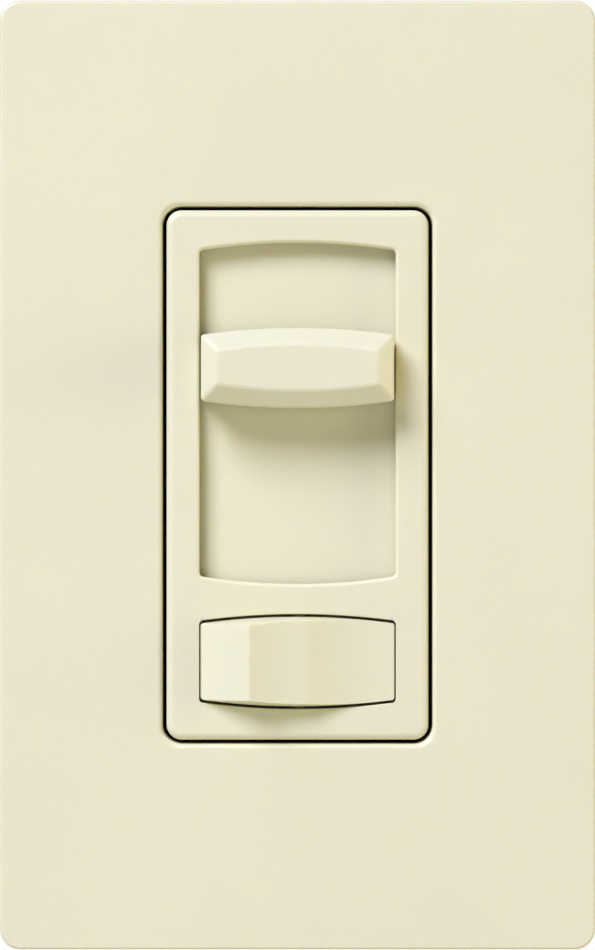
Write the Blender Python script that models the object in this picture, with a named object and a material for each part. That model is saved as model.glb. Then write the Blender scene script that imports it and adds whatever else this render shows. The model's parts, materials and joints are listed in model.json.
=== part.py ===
"""Wall dimmer: slide knob, on/off rocker, screwless wallplate and the mechanism behind them.

Frame: X to the right, Y into the wall, Z up. The origin is the centre of the wall plane,
where the strap's ears and the wallplate's rim rest, so everything at -Y is in the room.
"""

import math

import bmesh
import bpy
from mathutils import Matrix, Vector

MM = 0.001

# Clearances
GAP = 0.3 * MM  # between pieces that rest on or pass each other
PIN_GAP = 0.15 * MM  # round a trunnion in its hole
TRIM_GAP = 0.5 * MM  # shadow line between bezel and wallplate

# Wallplate cover and the adapter that it snaps onto
PLATE_WIDTH = 74.7 * MM
PLATE_HEIGHT = 119.1 * MM
PLATE_DEPTH = 7.6 * MM
PLATE_WALL = 1.8 * MM
PLATE_CORNER = 2.5 * MM
PLATE_LIP = 1.2 * MM
ADAPTER_WALL = 2.0 * MM
ADAPTER_INSET = 0.8 * MM  # between the adapter's edge and the cover's inner wall
ADAPTER_FIT = 0.2 * MM  # between the bezel's side and the adapter's opening
HOOK_REACH = 1.4 * MM
HOOK_THICKNESS = 0.8 * MM
HOOK_WIDTH = 9.0 * MM
HOOK_OFFSET = 18.0 * MM  # hook's distance from the centre line

# Strap that carries the device
STRAP_THICKNESS = 1.5 * MM
STRAP_SIDE = 8.5 * MM  # how far the wide body reaches past the housing at each side
STRAP_END = 2.0 * MM  # and at top and bottom
STRAP_HEIGHT = 106.4 * MM
EAR_WIDTH = 26.0 * MM
DEVICE_SCREW_SPACING = 83.3 * MM
PLATE_SCREW_SPACING = 96.8 * MM
SCREW_RADIUS = 1.7 * MM
SCREW_HEAD_RADIUS = 3.3 * MM
SCREW_HEAD_HEIGHT = 1.3 * MM
SCREW_LENGTH = 22.0 * MM
SLOT_RUN = 1.6 * MM  # sideways play of the device screws

# Bezel
BEZEL_WIDTH = 32.9 * MM
BEZEL_HEIGHT = 66.5 * MM
BEZEL_PROUD = 0.2 * MM
BEZEL_WALL = 1.4 * MM
BEZEL_FACE_WALL = 1.2 * MM
BEZEL_CORNER = 1.9 * MM
LUG_BEHIND_BEARING = 0.9 * MM

# Slide window, its floor and the knob in it
WINDOW_SIDE = 4.125 * MM  # from the bezel's edge to the window
WINDOW_FROM_TOP = 4.05 * MM  # from the bezel's top edge
WINDOW_ABOVE_LUG = 2.8 * MM  # above the lug that carries the rocker
WINDOW_ARCH = 1.0 * MM  # how much further the edge reaches at its middle
WINDOW_WALL = 1.0 * MM
WINDOW_WALL_DEPTH = 1.4 * MM
BLADE_THICKNESS = 0.55 * MM
FLOOR_THICKNESS = 1.0 * MM
FLOOR_SIDE = 0.6 * MM  # how far the floor reaches past the window at each side
FLOOR_ABOVE = 2.3 * MM  # and above it
SLIDE_GAP = 0.2 * MM  # above and below the carrier's blade
SLIDE_UP = 10.3 * MM  # travel left above the knob as it stands
KNOB_END_GAP = 0.6 * MM  # between knob and window at either end of the travel
KNOB_SIDE_GAP = 0.325 * MM
KNOB_HEIGHT = 9.9 * MM
KNOB_ARCH = 0.87 * MM
KNOB_PROUD = 6.2 * MM
KNOB_BEVEL = 1.95 * MM
KNOB_BEVEL_DEPTH = 1.9 * MM
CARRIER_HEIGHT = 6.0 * MM
LEG_THICKNESS = 0.8 * MM
BRIDGE_THICKNESS = 1.1 * MM
DRIVE_POST = 2.4 * MM
STAKE_RADIUS = 0.7 * MM
STAKE_MARGIN = 0.6 * MM  # from the floor's edge to a stake
STAKE_OFFSET = 8.0 * MM

# Slide potentiometer
POT_WIDTH = 9.0 * MM
POT_DEPTH = 6.8 * MM
POT_WALL = 1.2 * MM
TRACK_THICKNESS = 0.5 * MM
WIPER_HEIGHT = 6.0 * MM
WIPER_DEPTH = 2.8 * MM
WIPER_FLOOR = 0.6 * MM  # behind the hole for the drive post

# Rocker, shown with its right side pressed
ROCKER_SIDE = 4.35 * MM  # from the bezel's edge to the rocker
ROCKER_HEIGHT = 11.2 * MM
ROCKER_FROM_BOTTOM = 9.85 * MM  # from the bezel's bottom edge to the rocker's middle
ROCKER_ARCH = 0.84 * MM
ROCKER_DRAFT = 0.72 * MM  # how much narrower each long side is at the crest
ROCKER_CREST = 3.9 * MM
ROCKER_CREST_X = -6.0 * MM
ROCKER_RIDGE = 2.0 * MM
ROCKER_RIDGE_X = 1.25 * MM
ROCKER_FOOT = 0.15 * MM
ROCKER_FOOT_X = 8.65 * MM
ROCKER_LEFT_END = 0.3 * MM
ROCKER_WALL = 1.3 * MM
PIVOT_DEPTH = 2.9 * MM  # behind the bezel's face
PIVOT_RADIUS = 0.9 * MM
LUG_THICKNESS = 1.0 * MM
LUG_WIDTH = 4.4 * MM
ROCKER_THROW = math.radians(10)

# Switch under the rocker
STEM_WALL = 0.9 * MM
STEM_BORE = 1.7 * MM
STEM_REACH = 8.5 * MM  # from the pivot to the stem's end
STEM_ROOM = 2.0 * MM  # round the swinging stem in the strap
PLUNGER_OUT = 3.7 * MM  # how far the plunger stands out of the stem
PLUNGER_LENGTH = 5.6 * MM
SPRING_WIRE = 0.22 * MM
SPRING_TURNS = 4
SEESAW_LENGTH = 16.0 * MM
SEESAW_HEIGHT = 5.6 * MM
SEESAW_THICKNESS = 0.8 * MM
SEESAW_TRUNNION = 0.6 * MM
CONTACT_RADIUS = 1.3 * MM
CONTACT_HEIGHT = 0.6 * MM
CRADLE_WALL = 1.0 * MM
CRADLE_WIDTH = 3.6 * MM
CRADLE_DEPTH = 2.2 * MM  # from the seesaw's axis to the cradle's base
SWITCH_BASE_SIDE = 4.5 * MM  # how far the base reaches past the seesaw at each side
SWITCH_BASE_HEIGHT = 13.0 * MM
SWITCH_BASE_THICKNESS = 3.0 * MM

# Housing and what it holds
HOUSING_WIDTH = 43.0 * MM
HOUSING_HEIGHT = 70.0 * MM
HOUSING_DEPTH = 30.0 * MM
HOUSING_WALL = 1.8 * MM
HOUSING_CORNER = 2.0 * MM
BOSS_RADIUS = 2.7 * MM
BOSS_DEPTH = 13.0 * MM
BOSS_INSET = 3.0 * MM  # from the housing's outside to a boss's centre
HOUSING_SCREW_RADIUS = 1.2 * MM
HOUSING_SCREW_HEAD = 2.2 * MM
HOUSING_SCREW_LENGTH = 9.0 * MM
COUNTERSINK = 1.2 * MM
BOARD_THICKNESS = 1.6 * MM
BOARD_SIDE_GAP = 1.7 * MM  # inside the housing's walls
BOARD_BOSS_GAP = 0.5 * MM  # below the upper bosses
BOARD_SWITCH_GAP = 1.9 * MM  # above the switch base
BOARD_GAP = 0.8 * MM  # behind the potentiometer
TRIAC_GAP = 3.0 * MM  # beside the potentiometer
TRIAC_Z = 4.0 * MM
TRIAC_WIDTH = 10.0 * MM
TRIAC_TAB = 1.3 * MM
TRIAC_BODY = 4.4 * MM
TRIAC_TAB_LENGTH = 15.5 * MM
TRIAC_BODY_LENGTH = 9.0 * MM
PAD_THICKNESS = 0.4 * MM
RIVET_RADIUS = 1.4 * MM
CHOKE_X = -7.5 * MM
CHOKE_Z = 0.0 * MM
CHOKE_RADIUS = 6.6 * MM
CHOKE_CORE = 2.2 * MM
CHOKE_LENGTH = 6.4 * MM
WINDING_THICKNESS = 1.0 * MM
CAPACITOR_X = 9.5 * MM
CAPACITOR_Z = 16.0 * MM
CAPACITOR_SIZE = (13.0 * MM, 9.0 * MM, 6.5 * MM)
RESISTOR_RADIUS = 1.2 * MM
RESISTOR_LENGTH = 6.5 * MM
RESISTOR_X = 9.5 * MM
RESISTOR_Z = -8.0 * MM
TERMINAL_HEIGHT = 9.0 * MM
TERMINAL_DEPTH = 8.0 * MM
TERMINAL_THICKNESS = 1.0 * MM
TERMINAL_FROM_WALL = 9.0 * MM
TERMINAL_SPREAD = 14.0 * MM  # from the middle to each terminal
TERMINAL_TONGUE = 5.0 * MM
TERMINAL_SCREW_RADIUS = 1.6 * MM
TERMINAL_HEAD_RADIUS = 3.0 * MM
TERMINAL_HEAD_HEIGHT = 1.6 * MM
GROUND_SIDE = 4.0 * MM  # from the housing's side to the screw's axis
GROUND_Z = 24.0 * MM

# Planes along Y
plate_front = -PLATE_DEPTH
bezel_face = plate_front - BEZEL_PROUD
strap_front = -STRAP_THICKNESS
adapter_back = strap_front - GAP
adapter_front = adapter_back - ADAPTER_WALL
bezel_back = strap_front - GAP
face_back = bezel_face + BEZEL_FACE_WALL
window_back = bezel_face + WINDOW_WALL_DEPTH
blade_front = window_back + SLIDE_GAP
blade_back = blade_front + BLADE_THICKNESS
floor_front = blade_back + SLIDE_GAP
floor_back = floor_front + FLOOR_THICKNESS
bridge_front = floor_back + GAP
bridge_back = bridge_front + BRIDGE_THICKNESS
pivot_y = bezel_face + PIVOT_DEPTH
plunger_reach = STEM_REACH + PLUNGER_OUT
seesaw_y = pivot_y + plunger_reach + GAP + SEESAW_THICKNESS / 2
housing_front = GAP
pot_front = GAP
pot_back = pot_front + POT_DEPTH
track_back = pot_back - POT_WALL - GAP
track_front = track_back - TRACK_THICKNESS
wiper_back = track_front - GAP
wiper_front = wiper_back - WIPER_DEPTH
post_reach = wiper_back - WIPER_FLOOR - GAP
board_front = pot_back + BOARD_GAP
board_back = board_front + BOARD_THICKNESS

# Rocker and switch
rocker_width = BEZEL_WIDTH - 2 * ROCKER_SIDE
rocker_centre = ROCKER_FROM_BOTTOM - BEZEL_HEIGHT / 2
rocker_half = ROCKER_HEIGHT / 2
rest_tilt = ROCKER_THROW / 2  # the stem leans this far at rest, and as far the other way when off
lug_top = rocker_centre + rocker_half + GAP + LUG_THICKNESS
# The skirt's end must stay clear of the strap when the rocker has turned
skirt_room = strap_front - GAP - pivot_y - (rocker_width / 2 + GAP) * math.sin(ROCKER_THROW)
rocker_back = skirt_room / math.cos(ROCKER_THROW)
stem_radius = STEM_BORE + STEM_WALL
stem_swing = STEM_REACH * math.sin(rest_tilt)
plunger_radius = STEM_BORE - GAP
spring_coil = STEM_BORE - GAP - SPRING_WIRE

# Window, knob and slide
window_half = BEZEL_WIDTH / 2 - WINDOW_SIDE
window_top = BEZEL_HEIGHT / 2 - WINDOW_FROM_TOP
window_bottom = lug_top + WINDOW_ABOVE_LUG
floor_half = window_half + FLOOR_SIDE
floor_top = window_top + FLOOR_ABOVE
floor_bottom = lug_top + GAP
knob_half = window_half - KNOB_SIDE_GAP
knob_centre = window_top - KNOB_END_GAP - SLIDE_UP - KNOB_HEIGHT / 2
slide_down = knob_centre - KNOB_HEIGHT / 2 - KNOB_END_GAP - window_bottom
leg_inner = floor_half + GAP
leg_outer = leg_inner + LEG_THICKNESS
slot_top = knob_centre + SLIDE_UP + DRIVE_POST / 2 + 2 * GAP
slot_bottom = knob_centre - slide_down - DRIVE_POST / 2 - 2 * GAP
pot_inner_top = knob_centre + SLIDE_UP + WIPER_HEIGHT / 2 + 2 * GAP
pot_inner_bottom = knob_centre - slide_down - WIPER_HEIGHT / 2 - 2 * GAP

# Behind the strap
strap_width = HOUSING_WIDTH + 2 * STRAP_SIDE
strap_body_height = HOUSING_HEIGHT + 2 * STRAP_END
boss_x = HOUSING_WIDTH / 2 - BOSS_INSET
boss_z = HOUSING_HEIGHT / 2 - BOSS_INSET
boss_places = [(boss_x, boss_z), (-boss_x, boss_z), (boss_x, -boss_z), (-boss_x, -boss_z)]
board_half = HOUSING_WIDTH / 2 - HOUSING_WALL - BOARD_SIDE_GAP
board_top = boss_z - BOSS_RADIUS - BOARD_BOSS_GAP
board_bottom = rocker_centre + SWITCH_BASE_HEIGHT / 2 + BOARD_SWITCH_GAP
triac_x = POT_WIDTH / 2 + TRIAC_GAP + TRIAC_WIDTH / 2
rivet_z = TRIAC_Z + (TRIAC_TAB_LENGTH - TRIAC_BODY_LENGTH) / 2
ground_x = HOUSING_WIDTH / 2 + GROUND_SIDE
terminal_front = housing_front + TERMINAL_FROM_WALL
terminal_back = terminal_front + TERMINAL_DEPTH
terminal_screw_y = (terminal_front + terminal_back - TERMINAL_THICKNESS) / 2


# ---------------------------------------------------------------- scene and helpers

for old in list(bpy.data.objects):
    bpy.data.objects.remove(old, do_unlink=True)

parts = bpy.data.collections.new("wall_dimmer")
cutters = bpy.data.collections.new("cutters")
bpy.context.scene.collection.children.link(parts)
bpy.context.scene.collection.children.link(cutters)
cutters.hide_render = True


def material(name, colour, roughness, metallic=0.0):
    """A Principled material with one colour."""
    made = bpy.data.materials.new(name)
    made.use_nodes = True
    shader = made.node_tree.nodes["Principled BSDF"]
    shader.inputs["Base Color"].default_value = (*colour, 1.0)
    shader.inputs["Roughness"].default_value = roughness
    shader.inputs["Metallic"].default_value = metallic
    return made


def place(name, bm, origin=(0, 0, 0)):
    """Turns a bmesh into an object whose origin is at the given point."""
    bmesh.ops.recalc_face_normals(bm, faces=bm.faces)
    bmesh.ops.translate(bm, vec=-Vector(origin), verts=bm.verts)
    mesh = bpy.data.meshes.new(name)
    bm.to_mesh(mesh)
    bm.free()
    obj = bpy.data.objects.new(name, mesh)
    obj.location = origin
    cutters.objects.link(obj)
    obj.hide_render = True
    obj.display_type = "WIRE"
    return obj


def block(name, x, y, z, corner=0.0, steps=5, origin=(0, 0, 0)):
    """A box between the given limits, with its four edges along Y rounded when corner is set."""
    bm = bmesh.new()
    bmesh.ops.create_cube(bm, size=1.0)
    size = Vector((x[1] - x[0], y[1] - y[0], z[1] - z[0]))
    middle = Vector((sum(x) / 2, sum(y) / 2, sum(z) / 2))
    bmesh.ops.scale(bm, vec=size, verts=bm.verts)
    bmesh.ops.translate(bm, vec=middle, verts=bm.verts)
    if corner:
        along_y = []
        for edge in bm.edges:
            direction = edge.verts[0].co - edge.verts[1].co
            if abs(direction.y) > abs(direction.x) + abs(direction.z):
                along_y.append(edge)
        bmesh.ops.bevel(
            bm, geom=along_y, offset=corner, offset_type="OFFSET", segments=steps, profile=0.5, affect="EDGES"
        )
    return place(name, bm, origin)


def centred(width):
    return (-width / 2, width / 2)


def rod(name, start, end, radius, end_radius=None, sides=24, origin=(0, 0, 0)):
    """A round bar or a cone from start to end."""
    start = Vector(start)
    end = Vector(end)
    bm = bmesh.new()
    tip = radius if end_radius is None else end_radius
    bmesh.ops.create_cone(
        bm, cap_ends=True, segments=sides, radius1=radius, radius2=tip, depth=(end - start).length
    )
    turn = Vector((0, 0, 1)).rotation_difference(end - start).to_matrix().to_4x4()
    bmesh.ops.transform(bm, matrix=Matrix.Translation((start + end) / 2) @ turn, verts=bm.verts)
    return place(name, bm, origin)


def arched_outline(half_width, top, bottom, arch, steps=14):
    """Straight sides, with a top and a bottom that bow outwards by arch at their middle."""
    spread = [-half_width + 2 * half_width * step / steps for step in range(steps + 1)]
    upper = [(x, top - arch * (x / half_width) ** 2) for x in spread]
    lower = [(x, bottom + arch * (x / half_width) ** 2) for x in reversed(spread)]
    return upper + lower


def loft(name, sections, origin=(0, 0, 0)):
    """Joins outlines of equal length, each given as (y, [(x, z), ...]), from front to back."""
    bm = bmesh.new()
    rings = [[bm.verts.new((x, y, z)) for x, z in outline] for y, outline in sections]
    bm.faces.new(rings[0])
    bm.faces.new(list(reversed(rings[-1])))
    for near, far in zip(rings, rings[1:]):
        for index in range(len(near)):
            following = (index + 1) % len(near)
            bm.faces.new((near[index], far[index], far[following], near[following]))
    return place(name, bm, origin)


def prism(name, outline, z, origin=(0, 0, 0)):
    """An (x, y) outline drawn out along Z."""
    bm = bmesh.new()
    face = bm.faces.new([bm.verts.new((x, y, z[0])) for x, y in outline])
    drawn = bmesh.ops.extrude_face_region(bm, geom=[face])
    moved = [item for item in drawn["geom"] if isinstance(item, bmesh.types.BMVert)]
    bmesh.ops.translate(bm, vec=(0, 0, z[1] - z[0]), verts=moved)
    return place(name, bm, origin)


def ring(name, centre, major, minor, length, sides=28):
    """A thick tube along Y: a core or a winding."""
    x, y, z = centre
    outer = rod(name, centre, (x, y + length, z), major + minor, sides=sides)
    inner = rod(name + "_hole", (x, y - MM, z), (x, y + length + MM, z), major - minor, sides=sides)
    return combine(outer, "DIFFERENCE", inner)


def combine(obj, operation, *tools):
    """Adds one exact Boolean for each tool."""
    for tool in tools:
        modifier = obj.modifiers.new(operation.lower(), "BOOLEAN")
        modifier.operation = operation
        modifier.solver = "EXACT"
        modifier.object = tool
    return obj


def turn_about_z(obj, centre, angle):
    """Turns an object in place about a vertical line."""
    pivot = Matrix.Translation(centre)
    obj.matrix_basis = pivot @ Matrix.Rotation(angle, 4, "Z") @ pivot.inverted() @ obj.matrix_basis


def keep(obj, finish):
    """Makes an object one of the dimmer's pieces."""
    cutters.objects.unlink(obj)
    parts.objects.link(obj)
    obj.hide_render = False
    obj.display_type = "TEXTURED"
    obj.data.materials.append(finish)
    obj.data.shade_smooth()
    obj.data.set_sharp_from_angle(angle=math.radians(30))
    return obj


ivory = material("ivory_plastic", (0.80, 0.77, 0.60), 0.45)
adapter_plastic = material("adapter_plastic", (0.03, 0.03, 0.03), 0.5)
black_plastic = material("black_plastic", (0.04, 0.04, 0.04), 0.5)
white_nylon = material("white_nylon", (0.85, 0.85, 0.82), 0.4)
strap_metal = material("strap_aluminium", (0.75, 0.75, 0.76), 0.35, 1.0)
steel = material("zinc_plated_steel", (0.65, 0.66, 0.68), 0.3, 1.0)
brass = material("brass", (0.78, 0.6, 0.28), 0.3, 1.0)
green_steel = material("green_steel", (0.08, 0.35, 0.14), 0.4, 0.6)
board_green = material("board_laminate", (0.07, 0.25, 0.12), 0.5)
ferrite = material("ferrite", (0.12, 0.12, 0.13), 0.6)
copper = material("enamelled_copper", (0.62, 0.27, 0.12), 0.3, 1.0)
film_yellow = material("capacitor_shell", (0.75, 0.55, 0.12), 0.4)
resistor_shell = material("resistor_shell", (0.72, 0.6, 0.42), 0.5)
carbon = material("carbon_track", (0.05, 0.05, 0.05), 0.6)
pad_grey = material("insulating_pad", (0.5, 0.5, 0.52), 0.8)


# ---------------------------------------------------------------- wallplate

def make_cover():
    """Snap-on front: a shallow box with a lipped opening and hooks behind the adapter."""
    half_height = PLATE_HEIGHT / 2 - PLATE_WALL
    cover = block(
        "wallplate_cover", centred(PLATE_WIDTH), (plate_front, 0), centred(PLATE_HEIGHT), PLATE_CORNER
    )
    inside = block(
        "cover_inside",
        centred(PLATE_WIDTH - 2 * PLATE_WALL),
        (plate_front + PLATE_WALL, MM),
        centred(PLATE_HEIGHT - 2 * PLATE_WALL),
        PLATE_CORNER / 2,
    )
    opening_width = BEZEL_WIDTH + 2 * TRIM_GAP
    opening_height = BEZEL_HEIGHT + 2 * TRIM_GAP
    lip = block(
        "cover_lip",
        centred(opening_width + 2 * PLATE_LIP),
        (plate_front + PLATE_WALL / 2, adapter_front - 2 * GAP),
        centred(opening_height + 2 * PLATE_LIP),
        BEZEL_CORNER + TRIM_GAP + PLATE_LIP,
    )
    opening = block(
        "cover_opening",
        centred(opening_width),
        (plate_front - MM, MM),
        centred(opening_height),
        BEZEL_CORNER + TRIM_GAP,
    )
    combine(cover, "DIFFERENCE", inside)
    combine(cover, "UNION", lip)
    hook_y = adapter_back + GAP
    for side in (-1, 1):
        for end in (-1, 1):
            z = sorted((end * (half_height - HOOK_REACH), end * (half_height + PLATE_WALL / 2)))
            x = side * HOOK_OFFSET
            hook = block(
                f"cover_hook_{side}_{end}",
                (x - HOOK_WIDTH / 2, x + HOOK_WIDTH / 2),
                (hook_y, hook_y + HOOK_THICKNESS),
                z,
            )
            combine(cover, "UNION", hook)
    combine(cover, "DIFFERENCE", opening)
    keep(cover, ivory)


def make_adapter():
    """Flat frame screwed to the strap; the cover snaps over its edges."""
    inset = 2 * (PLATE_WALL + ADAPTER_INSET)
    adapter = block(
        "wallplate_adapter",
        centred(PLATE_WIDTH - inset),
        (adapter_front, adapter_back),
        centred(PLATE_HEIGHT - inset),
        PLATE_CORNER / 2,
    )
    opening = block(
        "adapter_opening",
        centred(BEZEL_WIDTH + 2 * ADAPTER_FIT),
        (adapter_front - MM, adapter_back + MM),
        centred(BEZEL_HEIGHT + 2 * ADAPTER_FIT),
        BEZEL_CORNER + ADAPTER_FIT,
    )
    combine(adapter, "DIFFERENCE", opening)
    for end in (-1, 1):
        over_head = end * DEVICE_SCREW_SPACING / 2
        own_screw = end * PLATE_SCREW_SPACING / 2
        head_room = rod(
            f"adapter_head_room_{end}",
            (0, adapter_front - MM, over_head),
            (0, adapter_back + MM, over_head),
            SCREW_HEAD_RADIUS + SLOT_RUN / 2 + GAP,
            sides=32,
        )
        screw_hole = rod(
            f"adapter_screw_hole_{end}",
            (0, adapter_front - MM, own_screw),
            (0, adapter_back + MM, own_screw),
            SCREW_RADIUS + GAP,
        )
        combine(adapter, "DIFFERENCE", head_room, screw_hole)
    keep(adapter, adapter_plastic)


def make_slotted_screw(name, head_back, tip, radius, head_radius, head_height, finish):
    """A screw between two points, with its head outside head_back and one driver slot."""
    head_back = Vector(head_back)
    tip = Vector(tip)
    out = (head_back - tip).normalized()
    head_front = head_back + out * head_height
    shank = rod(name, tip, head_back + out * head_height / 3, radius, sides=20)
    head = rod(name + "_head", head_back, head_front, head_radius, head_radius * 0.85, sides=28)
    slot_half = 0.4 * MM
    slot_depth = head_height * 0.45
    across = head_radius + MM
    low = head_front - out * slot_depth
    high = head_front + out * MM
    limits = []
    for axis in range(3):
        if abs(out[axis]) > 0.5:
            limits.append(tuple(sorted((low[axis], high[axis]))))
        elif axis == 2:
            limits.append((head_back[axis] - slot_half, head_back[axis] + slot_half))
        else:
            limits.append((head_back[axis] - across, head_back[axis] + across))
    slot = block(name + "_slot", *limits)
    combine(shank, "UNION", head)
    combine(shank, "DIFFERENCE", slot)
    keep(shank, finish)


def make_plate_and_device_screws():
    for label, end in (("top", 1), ("bottom", -1)):
        plate_z = end * PLATE_SCREW_SPACING / 2
        make_slotted_screw(
            f"adapter_screw_{label}",
            (0, adapter_front - GAP, plate_z),
            (0, adapter_front + 7 * MM, plate_z),
            SCREW_RADIUS,
            SCREW_HEAD_RADIUS,
            SCREW_HEAD_HEIGHT,
            steel,
        )
        device_z = end * DEVICE_SCREW_SPACING / 2
        make_slotted_screw(
            f"mounting_screw_{label}",
            (0, strap_front - GAP, device_z),
            (0, strap_front + SCREW_LENGTH, device_z),
            SCREW_RADIUS,
            SCREW_HEAD_RADIUS,
            SCREW_HEAD_HEIGHT,
            steel,
        )


# ---------------------------------------------------------------- strap

def countersunk_cutter(name, x, z):
    """A clearance hole through the strap with a cone for a flush head."""
    hole = rod(name, (x, strap_front - MM, z), (x, MM, z), HOUSING_SCREW_RADIUS + GAP)
    reach = COUNTERSINK + GAP
    cone = rod(
        name + "_cone",
        (x, strap_front, z),
        (x, strap_front + reach, z),
        HOUSING_SCREW_HEAD + GAP,
        HOUSING_SCREW_RADIUS + GAP,
    )
    mouth = rod(
        name + "_mouth", (x, strap_front - MM, z), (x, strap_front + 0.05 * MM, z), HOUSING_SCREW_HEAD + GAP
    )
    return combine(hole, "UNION", cone, mouth)


def make_strap():
    """Aluminium strap: wide body that sheds heat, narrow ears that reach the wall box."""
    strap = block(
        "mounting_strap", centred(strap_width), (strap_front, 0), centred(strap_body_height), 2 * MM
    )
    ears = block("strap_ears", centred(EAR_WIDTH), (strap_front, 0), centred(STRAP_HEIGHT), 3 * MM)
    combine(strap, "UNION", ears)
    stem_half = stem_radius + STEM_ROOM
    stem_window = block(
        "strap_stem_window",
        centred(2 * (stem_half + stem_swing)),
        (strap_front - MM, MM),
        (rocker_centre - stem_half, rocker_centre + stem_half),
        MM,
    )
    post_slot = block(
        "strap_post_slot",
        centred(DRIVE_POST + 4 * GAP),
        (strap_front - MM, MM),
        (slot_bottom, slot_top),
    )
    combine(strap, "DIFFERENCE", stem_window, post_slot)
    for end in (-1, 1):
        device_z = end * DEVICE_SCREW_SPACING / 2
        plate_z = end * PLATE_SCREW_SPACING / 2
        half_slot = SCREW_RADIUS + GAP
        slot = block(
            f"strap_slot_{end}",
            (-half_slot - SLOT_RUN / 2, half_slot + SLOT_RUN / 2),
            (strap_front - MM, MM),
            (device_z - half_slot, device_z + half_slot),
            half_slot * 0.98,
        )
        tapped = rod(
            f"strap_tapped_{end}", (0, strap_front - MM, plate_z), (0, MM, plate_z), SCREW_RADIUS + PIN_GAP
        )
        combine(strap, "DIFFERENCE", slot, tapped)
    for index, (x, z) in enumerate(boss_places):
        combine(strap, "DIFFERENCE", countersunk_cutter(f"strap_countersink_{index}", x, z))
    combine(strap, "DIFFERENCE", countersunk_cutter("strap_rivet_hole", triac_x, rivet_z))
    ground = rod(
        "strap_ground_hole",
        (ground_x, strap_front - MM, GROUND_Z),
        (ground_x, MM, GROUND_Z),
        SCREW_RADIUS + GAP,
    )
    combine(strap, "DIFFERENCE", ground)
    keep(strap, strap_metal)


def make_ground_screw():
    make_slotted_screw(
        "ground_screw",
        (ground_x, GAP, GROUND_Z),
        (ground_x, strap_front + GAP, GROUND_Z),
        SCREW_RADIUS,
        SCREW_HEAD_RADIUS,
        SCREW_HEAD_HEIGHT,
        green_steel,
    )


# ---------------------------------------------------------------- bezel and slide

def window_outline(grow=0.0):
    return arched_outline(window_half + grow, window_top + grow, window_bottom - grow, WINDOW_ARCH)


def stake_places():
    top = floor_top - STAKE_RADIUS - STAKE_MARGIN
    bottom = floor_bottom + STAKE_RADIUS + STAKE_MARGIN
    return [(-STAKE_OFFSET, top), (STAKE_OFFSET, top), (-STAKE_OFFSET, bottom), (STAKE_OFFSET, bottom)]


def rocker_opening():
    """The rocker's own outline grown by the gap, with ends that turn about its pivot."""
    half = rocker_width / 2 + GAP
    end_radius = math.hypot(half, PIVOT_DEPTH)
    outline = arched_outline(
        half + MM,
        rocker_centre + rocker_half + GAP,
        rocker_centre - rocker_half - GAP,
        ROCKER_ARCH * ((half + MM) / half) ** 2,
    )
    opening = loft("rocker_opening", [(bezel_face - 2 * MM, outline), (face_back + MM, outline)])
    drum = rod(
        "rocker_opening_drum",
        (0, pivot_y, rocker_centre - 2 * rocker_half),
        (0, pivot_y, rocker_centre + 2 * rocker_half),
        end_radius,
        sides=120,
    )
    return combine(opening, "INTERSECT", drum)


def make_bezel():
    """Face plate with a skirt, the slide window's walls, stakes for the floor and the rocker's lugs."""
    bezel = block(
        "bezel", centred(BEZEL_WIDTH), (bezel_face, bezel_back), centred(BEZEL_HEIGHT), BEZEL_CORNER
    )
    inside = block(
        "bezel_inside",
        centred(BEZEL_WIDTH - 2 * BEZEL_WALL),
        (face_back, bezel_back + MM),
        centred(BEZEL_HEIGHT - 2 * BEZEL_WALL),
        BEZEL_CORNER / 2,
    )
    combine(bezel, "DIFFERENCE", inside)
    sunk = face_back - BEZEL_FACE_WALL / 2
    window_walls = loft(
        "bezel_window_walls",
        [(sunk, window_outline(WINDOW_WALL)), (window_back, window_outline(WINDOW_WALL))],
    )
    combine(bezel, "UNION", window_walls)
    for index, (x, z) in enumerate(stake_places()):
        stake = rod(f"bezel_stake_{index}", (x, sunk, z), (x, floor_back, z), STAKE_RADIUS, sides=16)
        combine(bezel, "UNION", stake)
    for side in (-1, 1):
        inner = rocker_centre + side * (rocker_half + GAP)
        outer = inner + side * LUG_THICKNESS
        lug = block(
            f"bezel_lug_{side}",
            centred(LUG_WIDTH),
            (sunk, pivot_y + PIVOT_RADIUS + LUG_BEHIND_BEARING),
            tuple(sorted((inner, outer))),
        )
        combine(bezel, "UNION", lug)
    window = loft(
        "bezel_window",
        [(bezel_face - MM, window_outline()), (window_back + MM, window_outline())],
    )
    bearing = rod(
        "bezel_bearing",
        (0, pivot_y, rocker_centre - 1.5 * rocker_half),
        (0, pivot_y, rocker_centre + 1.5 * rocker_half),
        PIVOT_RADIUS + PIN_GAP,
    )
    combine(bezel, "DIFFERENCE", window, rocker_opening(), bearing)
    keep(bezel, ivory)


def make_slide_floor():
    floor = block(
        "slide_floor", centred(2 * floor_half), (floor_front, floor_back), (floor_bottom, floor_top)
    )
    for index, (x, z) in enumerate(stake_places()):
        hole = rod(
            f"floor_hole_{index}",
            (x, floor_front - MM, z),
            (x, floor_back + MM, z),
            STAKE_RADIUS + PIN_GAP,
            sides=16,
        )
        combine(floor, "DIFFERENCE", hole)
    keep(floor, ivory)


def knob_outline(inset, arch):
    half_height = KNOB_HEIGHT / 2 - inset
    return arched_outline(
        knob_half - inset, knob_centre + half_height, knob_centre - half_height, arch
    )


def make_knob():
    """The slide's grip: straight walls and four bevels up to a smaller front face."""
    front = bezel_face - KNOB_PROUD
    shoulder = front + KNOB_BEVEL_DEPTH
    knob = loft(
        "slider_knob",
        [
            (front, knob_outline(KNOB_BEVEL, KNOB_ARCH - 0.1 * MM)),
            (shoulder, knob_outline(0, KNOB_ARCH)),
            (blade_front - GAP, knob_outline(0, KNOB_ARCH)),
        ],
        origin=(0, bezel_face, knob_centre),
    )
    keep(knob, ivory)


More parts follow.
